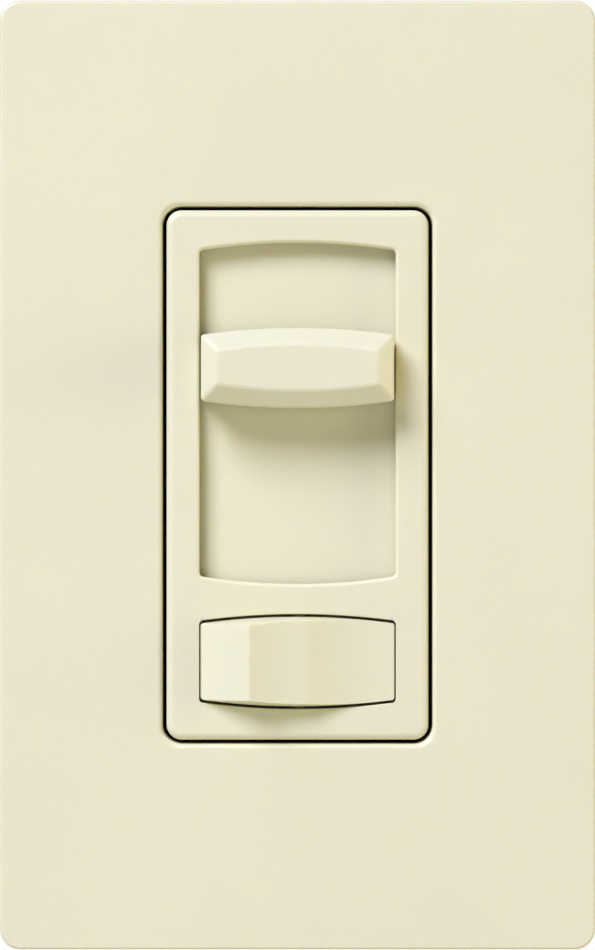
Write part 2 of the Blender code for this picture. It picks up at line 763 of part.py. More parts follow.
def make_carrier():
    """Thin blade under the knob whose legs pass the floor's edges, and the bridge clipped behind."""
    half = CARRIER_HEIGHT / 2
    z = (knob_centre - half, knob_centre + half)
    centre = (0, blade_front, knob_centre)
    carrier = block("slider_carrier", centred(2 * leg_outer), (blade_front, blade_back), z, origin=centre)
    for side in (-1, 1):
        x = tuple(sorted((side * leg_inner, side * leg_outer)))
        leg = block(f"carrier_leg_{side}", x, (blade_front, bridge_back), z)
        combine(carrier, "UNION", leg)
    keep(carrier, white_nylon)

    bridge = block(
        "slider_bridge", centred(2 * (leg_inner - GAP)), (bridge_front, bridge_back), z, origin=centre
    )
    half_post = DRIVE_POST / 2
    post = block(
        "bridge_post",
        (-half_post, half_post),
        (bridge_back - BRIDGE_THICKNESS / 2, post_reach),
        (knob_centre - half_post, knob_centre + half_post),
    )
    combine(bridge, "UNION", post)
    keep(bridge, white_nylon)


def make_potentiometer():
    """Channel-shaped case behind the strap, its carbon track and the wiper that the post drives."""
    case = block(
        "pot_case",
        centred(POT_WIDTH),
        (pot_front, pot_back),
        (pot_inner_bottom - POT_WALL, pot_inner_top + POT_WALL),
    )
    groove = block(
        "pot_groove",
        centred(POT_WIDTH - 2 * POT_WALL),
        (pot_front - MM, pot_back - POT_WALL),
        (pot_inner_bottom, pot_inner_top),
    )
    combine(case, "DIFFERENCE", groove)
    keep(case, steel)

    track = block(
        "pot_track",
        centred(POT_WIDTH - 2 * POT_WALL - 2 * GAP),
        (track_front, track_back),
        (pot_inner_bottom + GAP, pot_inner_top - GAP),
    )
    keep(track, carbon)

    wiper = block(
        "pot_wiper",
        centred(POT_WIDTH - 2 * POT_WALL - 4 * GAP),
        (wiper_front, wiper_back),
        (knob_centre - WIPER_HEIGHT / 2, knob_centre + WIPER_HEIGHT / 2),
        origin=(0, wiper_back, knob_centre),
    )
    half_fork = DRIVE_POST / 2 + GAP
    fork = block(
        "wiper_fork",
        (-half_fork, half_fork),
        (wiper_front - MM, post_reach + GAP),
        (knob_centre - half_fork, knob_centre + half_fork),
    )
    combine(wiper, "DIFFERENCE", fork)
    keep(wiper, black_plastic)


# ---------------------------------------------------------------- rocker and switch

def rocker_profile():
    """The rocker seen from above: four facets in front, ends turned about the pivot, a flat back."""
    half = rocker_width / 2 + GAP
    end_radius = math.hypot(half, PIVOT_DEPTH) - GAP

    def end_point(height, side):
        depth = PIVOT_DEPTH + height
        return side * math.sqrt(end_radius**2 - depth**2), pivot_y - depth

    def end_arc(start_height, side, steps=10):
        start = math.asin((PIVOT_DEPTH + start_height) / end_radius)
        finish = -math.asin(rocker_back / end_radius)
        angles = [start + (finish - start) * step / steps for step in range(steps + 1)]
        return [(side * end_radius * math.cos(a), pivot_y - end_radius * math.sin(a)) for a in angles]

    facets = [
        (ROCKER_CREST_X, bezel_face - ROCKER_CREST),
        (ROCKER_RIDGE_X, bezel_face - ROCKER_RIDGE),
        (ROCKER_FOOT_X, bezel_face - ROCKER_FOOT),
    ]
    right = end_arc(0.0, 1)
    left = end_arc(ROCKER_LEFT_END, -1)
    return facets + right + list(reversed(left))


def stem_point(reach):
    """A point behind the pivot on the stem's axis."""
    return Vector((-reach * math.sin(rest_tilt), pivot_y + reach * math.cos(rest_tilt), rocker_centre))


def make_rocker():
    """Hollow button with trunnions at top and bottom and a bored stem behind."""
    pivot = (0, pivot_y, rocker_centre)
    top = rocker_centre + rocker_half
    bottom = rocker_centre - rocker_half
    rocker = prism("rocker_button", rocker_profile(), (bottom - MM, top + MM), origin=pivot)
    half = rocker_width / 2 + MM
    arch = ROCKER_ARCH * (2 * half / rocker_width) ** 2
    full = arched_outline(half, top, bottom, arch)
    at_crest = arched_outline(half, top - ROCKER_DRAFT, bottom + ROCKER_DRAFT, arch)
    sides = loft(
        "rocker_sides",
        [
            (bezel_face - ROCKER_CREST - MM * 0.01, at_crest),
            (bezel_face, full),
            (pivot_y + 2 * rocker_back, full),
        ],
    )
    combine(rocker, "INTERSECT", sides)
    reach = rocker_width / 2 - 2 * ROCKER_WALL
    hollow_half = rocker_half - ROCKER_ARCH - ROCKER_WALL
    hollow = block(
        "rocker_hollow",
        (-reach, reach),
        (bezel_face + ROCKER_WALL, pivot_y + 2 * rocker_back),
        (rocker_centre - hollow_half, rocker_centre + hollow_half),
    )
    stem = rod("rocker_stem", stem_point(-PIVOT_DEPTH), stem_point(STEM_REACH), stem_radius)
    bore = rod("rocker_stem_bore", stem_point(MM), stem_point(STEM_REACH + MM), STEM_BORE)
    combine(rocker, "DIFFERENCE", hollow)
    combine(rocker, "UNION", stem)
    for side in (-1, 1):
        edge = rocker_centre + side * rocker_half
        trunnion = rod(
            f"rocker_trunnion_{side}",
            (0, pivot_y, edge - side * ROCKER_WALL),
            (0, pivot_y, edge + side * (GAP + LUG_THICKNESS - 0.1 * MM)),
            PIVOT_RADIUS,
        )
        combine(rocker, "UNION", trunnion)
    combine(rocker, "DIFFERENCE", bore)
    keep(rocker, ivory)


def make_plunger_and_spring():
    pivot = (0, pivot_y, rocker_centre)
    back = plunger_reach - PLUNGER_LENGTH
    nose = 0.8 * plunger_radius
    plunger = rod("plunger", stem_point(back), stem_point(plunger_reach - nose), plunger_radius, origin=pivot)
    tip = rod(
        "plunger_tip",
        stem_point(plunger_reach - nose * 1.2),
        stem_point(plunger_reach),
        plunger_radius,
        plunger_radius * 0.5,
    )
    combine(plunger, "UNION", tip)
    keep(plunger, white_nylon)

    start = MM + GAP + SPRING_WIRE
    length = back - GAP - SPRING_WIRE - start
    points_per_turn = 12
    count = SPRING_TURNS * points_per_turn + 1
    curve = bpy.data.curves.new("plunger_spring", "CURVE")
    curve.dimensions = "3D"
    curve.bevel_depth = SPRING_WIRE
    curve.bevel_resolution = 2
    curve.use_fill_caps = True
    spline = curve.splines.new("POLY")
    spline.points.add(count - 1)
    axis = (stem_point(length) - stem_point(0)).normalized()
    across = Vector((0, 0, 1))
    other = axis.cross(across)
    for index, point in enumerate(spline.points):
        turn = 2 * math.pi * index / points_per_turn
        middle = stem_point(start + length * index / (count - 1)) - Vector(pivot)
        spot = middle + spring_coil * (across * math.cos(turn) + other * math.sin(turn))
        point.co = (*spot, 1.0)
    spring = bpy.data.objects.new("plunger_spring", curve)
    spring.location = pivot
    parts.objects.link(spring)
    curve.materials.append(steel)


def make_seesaw():
    """Brass contact arm that the plunger tips to and fro."""
    centre = Vector((0, seesaw_y, rocker_centre))
    half_thickness = SEESAW_THICKNESS / 2
    half_height = SEESAW_HEIGHT / 2
    seesaw = block(
        "contact_seesaw",
        centred(SEESAW_LENGTH),
        (seesaw_y - half_thickness, seesaw_y + half_thickness),
        (rocker_centre - half_height, rocker_centre + half_height),
        origin=centre,
    )
    pin_half = half_height + GAP + CRADLE_WALL
    pin = rod(
        "seesaw_pin",
        (0, seesaw_y, rocker_centre - pin_half),
        (0, seesaw_y, rocker_centre + pin_half),
        SEESAW_TRUNNION,
        sides=16,
    )
    button_x = -SEESAW_LENGTH / 2 + CONTACT_RADIUS + 0.4 * MM
    button = rod(
        "seesaw_button",
        (button_x, seesaw_y, rocker_centre),
        (button_x, seesaw_y + half_thickness + CONTACT_HEIGHT, rocker_centre),
        CONTACT_RADIUS,
        sides=20,
    )
    combine(seesaw, "UNION", pin, button)
    for turned in (seesaw, pin, button):
        turn_about_z(turned, centre, -rest_tilt)
    keep(seesaw, brass)


def make_cradle_and_fixed_contact():
    base_front = seesaw_y + CRADLE_DEPTH
    base_back = base_front + CRADLE_WALL
    inner = SEESAW_HEIGHT / 2 + GAP
    outer = inner + CRADLE_WALL
    half = CRADLE_WIDTH / 2
    cradle = block(
        "contact_cradle",
        (-half, half),
        (base_front, base_back),
        (rocker_centre - outer, rocker_centre + outer),
    )
    for side in (-1, 1):
        z = tuple(sorted((rocker_centre + side * inner, rocker_centre + side * outer)))
        ear = block(f"cradle_ear_{side}", (-half, half), (seesaw_y - half * 0.7, base_back), z)
        combine(cradle, "UNION", ear)
    bearing = rod(
        "cradle_bearing",
        (0, seesaw_y, rocker_centre - outer - MM),
        (0, seesaw_y, rocker_centre + outer + MM),
        SEESAW_TRUNNION + PIN_GAP,
        sides=16,
    )
    combine(cradle, "DIFFERENCE", bearing)
    keep(cradle, brass)

    button_x = -SEESAW_LENGTH / 2 + CONTACT_RADIUS + 0.4 * MM
    arm_lean = -button_x * math.sin(rest_tilt) + CONTACT_RADIUS * math.sin(rest_tilt)
    meeting = seesaw_y + SEESAW_THICKNESS / 2 + CONTACT_HEIGHT + arm_lean + GAP
    contact = block(
        "fixed_contact",
        (button_x - 2.6 * MM, button_x + 2.0 * MM),
        (base_back - 0.7 * MM, base_back),
        (rocker_centre - 2.5 * MM, rocker_centre + 2.5 * MM),
    )
    button = rod(
        "fixed_button",
        (button_x, meeting, rocker_centre),
        (button_x, base_back - 0.35 * MM, rocker_centre),
        CONTACT_RADIUS,
        sides=20,
    )
    combine(contact, "UNION", button)
    keep(contact, brass)

    base = block(
        "switch_base",
        centred(SEESAW_LENGTH + 2 * SWITCH_BASE_SIDE),
        (base_back + GAP, base_back + GAP + SWITCH_BASE_THICKNESS),
        (rocker_centre - SWITCH_BASE_HEIGHT / 2, rocker_centre + SWITCH_BASE_HEIGHT / 2),
        MM,
    )
    keep(base, black_plastic)


# ---------------------------------------------------------------- electronics

def make_board():
    board = block(
        "circuit_board", centred(2 * board_half), (board_front, board_back), (board_bottom, board_top)
    )
    keep(board, board_green)


def make_triac():
    """Power device riveted to the strap through an insulating pad."""
    pad_front = GAP
    pad_back = pad_front + PAD_THICKNESS
    tab_front = pad_back + GAP
    tab_back = tab_front + TRIAC_TAB
    top = TRIAC_Z + TRIAC_TAB_LENGTH - TRIAC_BODY_LENGTH
    bottom = TRIAC_Z - TRIAC_BODY_LENGTH
    x = (triac_x - TRIAC_WIDTH / 2, triac_x + TRIAC_WIDTH / 2)

    def rivet_hole(name, front, back):
        return rod(name, (triac_x, front - MM, rivet_z), (triac_x, back + MM, rivet_z), RIVET_RADIUS + GAP)

    pad = block("triac_pad", x, (pad_front, pad_back), (bottom, top))
    combine(pad, "DIFFERENCE", rivet_hole("pad_hole", pad_front, pad_back))
    keep(pad, pad_grey)

    triac = block("triac", x, (tab_front, tab_back), (bottom, top))
    body = block("triac_body", x, (tab_front, tab_front + TRIAC_BODY), (bottom, TRIAC_Z))
    combine(triac, "UNION", body)
    lead_y = tab_front + TRIAC_BODY / 2
    for step in (-1, 0, 1):
        lead_x = triac_x + step * 2.54 * MM
        x_lead = (lead_x - 0.4 * MM, lead_x + 0.4 * MM)
        down = block(
            f"triac_lead_{step}",
            x_lead,
            (lead_y - 0.3 * MM, lead_y + 0.3 * MM),
            (bottom - 3 * MM, bottom + MM),
        )
        inward = block(
            f"triac_foot_{step}",
            x_lead,
            (lead_y - 0.3 * MM, board_front - GAP),
            (bottom - 3 * MM, bottom - 2.4 * MM),
        )
        combine(down, "UNION", inward)
        combine(triac, "UNION", down)
    combine(triac, "DIFFERENCE", rivet_hole("tab_hole", tab_front, tab_back))
    keep(triac, black_plastic)

    rivet = rod(
        "triac_rivet", (triac_x, strap_front, rivet_z), (triac_x, tab_back + 2 * GAP, rivet_z), RIVET_RADIUS
    )
    flush_head = rod(
        "rivet_flush_head",
        (triac_x, strap_front, rivet_z),
        (triac_x, strap_front + COUNTERSINK, rivet_z),
        HOUSING_SCREW_HEAD,
        HOUSING_SCREW_RADIUS,
    )
    formed_head = rod(
        "rivet_formed_head",
        (triac_x, tab_back + GAP, rivet_z),
        (triac_x, tab_back + GAP + MM, rivet_z),
        RIVET_RADIUS + MM,
    )
    combine(rivet, "UNION", flush_head, formed_head)
    keep(rivet, steel)


def make_choke():
    """Ferrite ring with its copper winding drawn as one sleeve, open between the winding's ends."""
    front = board_back + GAP + WINDING_THICKNESS + GAP
    centre = (CHOKE_X, front, CHOKE_Z)
    core = ring("choke_core", centre, CHOKE_RADIUS, CHOKE_CORE, CHOKE_LENGTH)
    keep(core, ferrite)

    cover = GAP + WINDING_THICKNESS
    winding = ring(
        "choke_winding",
        (CHOKE_X, front - cover, CHOKE_Z),
        CHOKE_RADIUS,
        CHOKE_CORE + cover,
        CHOKE_LENGTH + 2 * cover,
    )
    room = ring(
        "winding_room",
        (CHOKE_X, front - GAP, CHOKE_Z),
        CHOKE_RADIUS,
        CHOKE_CORE + GAP,
        CHOKE_LENGTH + 2 * GAP,
    )
    opening = block(
        "winding_opening",
        (CHOKE_X - 2.5 * MM, CHOKE_X + 2.5 * MM),
        (front - 2 * cover, front + CHOKE_LENGTH + 2 * cover),
        (CHOKE_Z - CHOKE_RADIUS - 2 * CHOKE_CORE, CHOKE_Z),
    )
    combine(winding, "DIFFERENCE", room, opening)
    keep(winding, copper)


def make_small_components():
    width, depth, height = CAPACITOR_SIZE
    front = board_back + GAP
    capacitor = block(
        "film_capacitor",
        (CAPACITOR_X - width / 2, CAPACITOR_X + width / 2),
        (front, front + depth),
        (CAPACITOR_Z - height / 2, CAPACITOR_Z + height / 2),
    )
    keep(capacitor, film_yellow)
    middle = front + RESISTOR_RADIUS
    half = RESISTOR_LENGTH / 2
    resistor = rod(
        "resistor",
        (RESISTOR_X - half, middle, RESISTOR_Z),
        (RESISTOR_X + half, middle, RESISTOR_Z),
        RESISTOR_RADIUS,
        sides=16,
    )
    keep(resistor, resistor_shell)


# ---------------------------------------------------------------- housing and terminals

def make_housing():
    housing = block(
        "back_housing",
        centred(HOUSING_WIDTH),
        (housing_front, housing_front + HOUSING_DEPTH),
        centred(HOUSING_HEIGHT),
        HOUSING_CORNER,
    )
    inside = block(
        "housing_inside",
        centred(HOUSING_WIDTH - 2 * HOUSING_WALL),
        (housing_front - MM, housing_front + HOUSING_DEPTH - HOUSING_WALL),
        centred(HOUSING_HEIGHT - 2 * HOUSING_WALL),
        HOUSING_CORNER / 2,
    )
    combine(housing, "DIFFERENCE", inside)
    screw_reach = HOUSING_SCREW_LENGTH + 2 * GAP
    for index, (x, z) in enumerate(boss_places):
        boss = rod(f"housing_boss_{index}", (x, housing_front, z), (x, BOSS_DEPTH, z), BOSS_RADIUS)
        combine(housing, "UNION", boss)
    for index, (x, z) in enumerate(boss_places):
        bore = rod(f"boss_bore_{index}", (x, -MM, z), (x, screw_reach, z), HOUSING_SCREW_RADIUS + PIN_GAP)
        combine(housing, "DIFFERENCE", bore)
    outside = HOUSING_WIDTH / 2
    tongue_half = TERMINAL_HEIGHT / 3 + GAP
    for side in (-1, 1):
        z = side * TERMINAL_SPREAD
        slot = block(
            f"housing_tongue_slot_{side}",
            (outside - 2 * HOUSING_WALL, outside + MM),
            (terminal_back - TERMINAL_THICKNESS - GAP, terminal_back + GAP),
            (z - tongue_half, z + tongue_half),
        )
        hole = rod(
            f"housing_terminal_hole_{side}",
            (outside - 2 * HOUSING_WALL, terminal_screw_y, z),
            (outside + MM, terminal_screw_y, z),
            TERMINAL_SCREW_RADIUS + GAP,
        )
        combine(housing, "DIFFERENCE", slot, hole)
    keep(housing, black_plastic)


def make_housing_screws():
    for index, (x, z) in enumerate(boss_places, start=1):
        screw = rod(
            f"housing_screw_{index}",
            (x, strap_front, z),
            (x, HOUSING_SCREW_LENGTH, z),
            HOUSING_SCREW_RADIUS,
            sides=20,
        )
        head = rod(
            f"housing_screw_head_{index}",
            (x, strap_front, z),
            (x, strap_front + COUNTERSINK, z),
            HOUSING_SCREW_HEAD,
            HOUSING_SCREW_RADIUS,
        )
        combine(screw, "UNION", head)
        keep(screw, steel)


def make_terminals():
    """Brass plates on the housing's right side, each with a tongue inside and a binding screw."""
    inner = HOUSING_WIDTH / 2 + GAP
    outer = inner + TERMINAL_THICKNESS
    for label, side in (("line", 1), ("load", -1)):
        z = side * TERMINAL_SPREAD
        plate = block(
            f"terminal_plate_{label}",
            (inner, outer),
            (terminal_front, terminal_back),
            (z - TERMINAL_HEIGHT / 2, z + TERMINAL_HEIGHT / 2),
        )
        tongue = block(
            f"terminal_tongue_{label}",
            (inner - TERMINAL_TONGUE, outer - TERMINAL_THICKNESS / 2),
            (terminal_back - TERMINAL_THICKNESS, terminal_back),
            (z - TERMINAL_HEIGHT / 3, z + TERMINAL_HEIGHT / 3),
        )
        hole = rod(
            f"terminal_hole_{label}",
            (inner - MM, terminal_screw_y, z),
            (outer + MM, terminal_screw_y, z),
            TERMINAL_SCREW_RADIUS + PIN_GAP,
        )
        combine(plate, "UNION", tongue)
        combine(plate, "DIFFERENCE", hole)
        keep(plate, brass)
        make_slotted_screw(
            f"terminal_screw_{label}",
            (outer + GAP, terminal_screw_y, z),
            (inner - HOUSING_WALL - MM, terminal_screw_y, z),
            TERMINAL_SCREW_RADIUS,
            TERMINAL_HEAD_RADIUS,
            TERMINAL_HEAD_HEIGHT,
            brass,
        )


make_cover()
make_adapter()
make_plate_and_device_screws()
make_strap()
make_ground_screw()
make_bezel()
make_slide_floor()
make_knob()
make_carrier()
make_potentiometer()
make_rocker()
make_plunger_and_spring()
make_seesaw()
make_cradle_and_fixed_contact()
make_board()
make_triac()
make_choke()
make_small_components()
make_housing()
make_housing_screws()
make_terminals()
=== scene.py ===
"""Looks of the wall dimmer: fine front pieces, plastics and metals, studio light and camera."""

import json
import math

import bpy
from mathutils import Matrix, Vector


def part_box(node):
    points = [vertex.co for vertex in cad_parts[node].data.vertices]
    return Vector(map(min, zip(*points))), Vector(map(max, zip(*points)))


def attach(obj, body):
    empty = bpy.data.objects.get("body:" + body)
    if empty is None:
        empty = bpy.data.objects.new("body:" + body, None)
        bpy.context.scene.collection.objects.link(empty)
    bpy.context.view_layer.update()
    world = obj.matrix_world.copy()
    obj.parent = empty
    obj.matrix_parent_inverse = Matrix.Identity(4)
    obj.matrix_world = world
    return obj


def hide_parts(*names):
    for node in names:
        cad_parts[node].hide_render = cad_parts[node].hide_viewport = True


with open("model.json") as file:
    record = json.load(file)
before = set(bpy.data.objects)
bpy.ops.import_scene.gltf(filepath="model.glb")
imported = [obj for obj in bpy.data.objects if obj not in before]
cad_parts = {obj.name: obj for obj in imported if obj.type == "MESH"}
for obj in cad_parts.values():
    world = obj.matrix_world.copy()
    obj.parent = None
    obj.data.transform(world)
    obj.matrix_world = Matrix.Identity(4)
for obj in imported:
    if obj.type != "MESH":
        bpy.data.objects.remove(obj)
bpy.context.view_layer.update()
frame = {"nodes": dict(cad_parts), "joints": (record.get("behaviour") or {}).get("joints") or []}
nodes = frame["nodes"]
joints = {joint["name"]: joint for joint in frame["joints"]}

MM = 0.001

# Sizes read from the frame
cover_low, cover_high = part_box("wallplate_cover")
bezel_low, bezel_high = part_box("bezel")
knob_low, knob_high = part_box("slider_knob")
floor_low, floor_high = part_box("slide_floor")
adapter_low, adapter_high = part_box("wallplate_adapter")
rocker_pivot = Vector(joints["rocker_pivot"]["pos_m"])

bezel_face = bezel_low.y

# Wallplate
TRIM_GAP = 0.5 * MM  # shadow line between bezel and wallplate
PLATE_WALL = 1.8 * MM
PLATE_CORNER = 2.5 * MM
PLATE_EDGE = 0.45 * MM  # rounding of the outer front edge
PLATE_LIP_EDGE = 0.75 * MM  # and of the opening's front edge
OPENING_CORNER = 2.4 * MM
LIP_CLEARANCE = 0.6 * MM  # between the opening's lip and the adapter
HOOK_OFFSET = 18.0 * MM
HOOK_HALF_WIDTH = 4.5 * MM
HOOK_THICKNESS = 0.8 * MM
HOOK_REACH = 1.4 * MM
HOOK_EDGE = 0.2 * MM
HOOK_CLEARANCE = 0.3 * MM  # behind the adapter

# Bezel and the slide's window
BEZEL_CORNER = 1.9 * MM
BEZEL_EDGE = 1.0 * MM
BEZEL_WALL = 1.2 * MM
BEZEL_INNER_CORNER = 0.9 * MM
WINDOW_HALF = 12.325 * MM
WINDOW_TOP = 29.2 * MM
WINDOW_BOTTOM = -13.7 * MM
WINDOW_ARCH = 1.0 * MM  # how much further the edge reaches at its middle
WINDOW_CORNER = 0.45 * MM
WINDOW_EDGE = 0.45 * MM
WINDOW_WALL = 1.0 * MM
WINDOW_WALL_DEPTH = 1.4 * MM
LUG_HALF_WIDTH = 2.2 * MM
LUG_THICKNESS = 1.0 * MM
LUG_BEHIND_PIN = 0.9 * MM
LUG_EDGE = 0.15 * MM
BEARING_REACH = 9.0 * MM  # of the bore, either way from the rocker's middle
STAKE_RADIUS = 0.7 * MM
STAKE_OFFSET = 8.0 * MM
STAKE_INSET = 1.3 * MM  # from the floor panel's end
STAKE_EDGE = 0.1 * MM
FLOOR_EDGE = 0.2 * MM

# Knob
KNOB_ARCH = 0.87 * MM
KNOB_FRONT_HALF_WIDTH = 10.05 * MM
KNOB_FRONT_HALF_HEIGHT = 2.85 * MM
KNOB_FRONT_ARCH = 0.77 * MM
KNOB_BEVEL_DEPTH = 1.9 * MM
KNOB_HOLLOW = 0.28 * MM
KNOB_EDGE = 0.36 * MM

# Rocker
ROCKER_HALF = 12.1 * MM
ROCKER_GAP = 0.36 * MM  # along its long sides
ROCKER_END_GAP = 0.2 * MM
ROCKER_TALL = 11.2 * MM
ROCKER_ARCH = 0.84 * MM
ROCKER_DRAFT = 0.72 * MM
ROCKER_CREST = 3.9  # mm above the bezel
ROCKER_BACK = 0.95 * MM  # behind the pivot
ROCKER_WALL = 1.3 * MM
ROCKER_CORNER = 0.35 * MM
ROCKER_EDGE = 0.14 * MM
BLANK_HALF = 8.0 * MM  # half height of the block that the rocker is cut from
DRUM_LENGTH = 30.0 * MM
OPENING_END_CORNER = 0.5 * MM
OPENING_EDGE = 0.16 * MM
PIN_RADIUS = 0.9 * MM
PIN_CLEARANCE = 0.15 * MM
STEM_LEAN = math.radians(5)
STEM_RADIUS = 2.6 * MM
STEM_REACH = 8.5 * MM
STEM_BORE = 1.7 * MM
STEM_FLOOR = 1.0 * MM  # from the pivot to the bottom of the bore
TRUNNION_REACH = 1.2 * MM

# Housing
HOUSING_EDGE = 0.6 * MM
PANEL_INSET = 4.0 * MM
PANEL_DEPTH = 0.4 * MM
PANEL_EDGE = 0.35 * MM
MARK_INSET = 7.5 * MM
MARK_DEPTH = 0.55 * MM
MARK_RADIUS = 1.6 * MM
RIBS = 9
RIB_SPACING = 4.0 * MM
RIB_INSET = 6.0 * MM
RIB_RADIUS = 0.45 * MM

CLOSE = 0.001 * MM  # points nearer than this count as one
BEYOND = MM  # how far a cutting tool reaches past what it cuts


# ---------------------------------------------------------------- modelling by hand

def to_object_mode():
    if bpy.context.object and bpy.context.object.mode != "OBJECT":
        bpy.ops.object.mode_set(mode="OBJECT")


def only(piece):
    """Selects one piece and makes it active."""
    to_object_mode()
    bpy.ops.object.select_all(action="DESELECT")
    piece.select_set(True)
    bpy.context.view_layer.objects.active = piece
    return piece


def select(piece, kind, test):
    """In edit mode, selects the vertices, edges or faces that the test accepts."""
    only(piece)
    bpy.ops.object.mode_set(mode="EDIT")
    bpy.ops.mesh.select_mode(type=kind)
    bpy.ops.mesh.select_all(action="DESELECT")
    bpy.ops.object.mode_set(mode="OBJECT")
    mesh = piece.data
    if kind == "VERT":
        for vert in mesh.vertices:
            vert.select = test(vert.co)
    elif kind == "EDGE":
        for edge in mesh.edges:
            first, second = (mesh.vertices[index].co for index in edge.vertices)
            edge.select = test(first, second)
    else:
        for face in mesh.polygons:
            face.select = test(face.center, face.normal)
    bpy.ops.object.mode_set(mode="EDIT")
    return piece


def block(name, low, high):
    """A box primitive between two corners, with its place in its mesh."""
    to_object_mode()
    bpy.ops.object.select_all(action="DESELECT")
    middle = (Vector(low) + Vector(high)) / 2
    bpy.ops.mesh.primitive_cube_add(size=1.0, location=middle)
    piece = bpy.context.object
    piece.name = name
    piece.scale = Vector(high) - Vector(low)
    bpy.ops.object.transform_apply(location=True, rotation=True, scale=True)
    return piece


def bar(name, start, end, radius, sides=32):
    """A round bar between two points."""
    to_object_mode()
    bpy.ops.object.select_all(action="DESELECT")
    start, end = Vector(start), Vector(end)
    turn = (end - start).to_track_quat("Z", "Y").to_euler()
    bpy.ops.mesh.primitive_cylinder_add(
        vertices=sides,
        radius=radius,
        depth=(end - start).length,
        location=(start + end) / 2,
        rotation=turn,
    )
    piece = bpy.context.object
    piece.name = name
    bpy.ops.object.transform_apply(location=True, rotation=True, scale=True)
    return piece


def sheet_facing_room(name, width, height, y, z=0.0, columns=1):
    """One flat outline in the XZ plane that faces the room, divided along its long sides."""
    to_object_mode()
    bpy.ops.object.select_all(action="DESELECT")
    bpy.ops.mesh.primitive_grid_add(
        x_subdivisions=columns, y_subdivisions=1, size=1.0, rotation=(math.pi / 2, 0, 0)
    )
    piece = bpy.context.object
    piece.name = name
    piece.location = (0, y, z)
    piece.scale = (width, height, 1.0)
    bpy.ops.object.transform_apply(location=True, rotation=True, scale=True)
    if columns > 1:
        bpy.ops.object.mode_set(mode="EDIT")
        bpy.ops.mesh.select_all(action="SELECT")
        bpy.ops.mesh.dissolve_faces()
        bpy.ops.object.mode_set(mode="OBJECT")
    return piece


def round_corners(piece, radius, steps):
    """Rounds the outline's four corners."""
    width = max(abs(vert.co.x) for vert in piece.data.vertices)
    select(piece, "VERT", lambda co: abs(abs(co.x) - width) < CLOSE)
    bpy.ops.mesh.bevel(offset=radius, offset_type="OFFSET", segments=steps, affect="VERTICES")
    bpy.ops.object.mode_set(mode="OBJECT")
    return piece


def bow(piece, arch, middle_z):
    """Bends the two long sides outwards by arch at their middle."""
    half = max(abs(vert.co.x) for vert in piece.data.vertices)
    for vert in piece.data.vertices:
        side = 1 if vert.co.z > middle_z else -1
        vert.co.z += side * arch * (1 - (vert.co.x / half) ** 2)
    return piece


def draw_back(piece, y):
    """Extrudes a flat outline straight back into a closed block."""
    start = piece.data.vertices[0].co.y
    only(piece)
    bpy.ops.object.mode_set(mode="EDIT")
    bpy.ops.mesh.select_all(action="SELECT")
    bpy.ops.mesh.extrude_region_move(TRANSFORM_OT_translate={"value": (0, y - start, 0)})
    bpy.ops.mesh.select_all(action="SELECT")
    bpy.ops.mesh.normals_make_consistent(inside=False)
    bpy.ops.object.mode_set(mode="OBJECT")
    return piece


def add_modifier(piece, kind, **settings):
    """Adds a modifier and applies it at once."""
    only(piece)
    modifier = piece.modifiers.new(kind.lower(), kind)
    for key, value in settings.items():
        setattr(modifier, key, value)
    bpy.ops.object.modifier_apply(modifier=modifier.name)
    return piece


def combine(piece, operation, *tools):
    """Applies one Boolean for each tool and removes the tool."""
    for tool in tools:
        add_modifier(piece, "BOOLEAN", operation=operation, solver="EXACT", object=tool)
        bpy.data.objects.remove(tool, do_unlink=True)
    return piece


def round_edges(piece, width, steps, limit=25):
    """Rounds every edge sharper than the limit, in degrees."""
    return add_modifier(
        piece,
        "BEVEL",
        width=width,
        segments=steps,
        limit_method="ANGLE",
        angle_limit=math.radians(limit),
        use_clamp_overlap=True,
    )


def finish_piece(piece, finish, body, *stands_for):
    """Smooth shading with flat faces kept flat, then material, body, slot and replaced nodes."""
    add_modifier(piece, "WELD", merge_threshold=2 * CLOSE)
    only(piece)
    bpy.ops.object.mode_set(mode="EDIT")
    bpy.ops.mesh.select_all(action="SELECT")
    bpy.ops.mesh.dissolve_degenerate(threshold=CLOSE)
    to_object_mode()
    bpy.ops.object.shade_smooth_by_angle(angle=math.radians(30))
    add_modifier(piece, "WEIGHTED_NORMAL", keep_sharp=True, weight=60)
    piece.data.materials.clear()
    piece.data.materials.append(finish)
    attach(piece, body)
    if stands_for:
        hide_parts(*stands_for)
    return piece


# ---------------------------------------------------------------- materials

def new_material(name, roughness, metallic=0.0, colour=None):
    """A material that remembers its slot, because the frame's own materials hold the same names."""
    made = bpy.data.materials.new(name)
    made.use_nodes = True
    made["slot_name"] = name
    shader = made.node_tree.nodes["Principled BSDF"]
    shader.inputs["Roughness"].default_value = roughness
    shader.inputs["Metallic"].default_value = metallic
    if colour:
        shader.inputs["Base Color"].default_value = (*colour, 1.0)
    return made, made.node_tree, shader


def noise(tree, size, detail=3.0, roughness=0.5, stretch=None):
    """A noise pattern whose grain is about size metres across."""
    coordinates = tree.nodes.new("ShaderNodeTexCoord")
    source = coordinates.outputs["Object"]
    if stretch:
        mapping = tree.nodes.new("ShaderNodeMapping")
        mapping.inputs["Scale"].default_value = stretch
        tree.links.new(source, mapping.inputs["Vector"])
        source = mapping.outputs["Vector"]
    texture = tree.nodes.new("ShaderNodeTexNoise")
    texture.inputs["Scale"].default_value = 1.0 / size
    texture.inputs["Detail"].default_value = detail
    texture.inputs["Roughness"].default_value = roughness
    tree.links.new(source, texture.inputs["Vector"])
    return texture.outputs["Fac"]


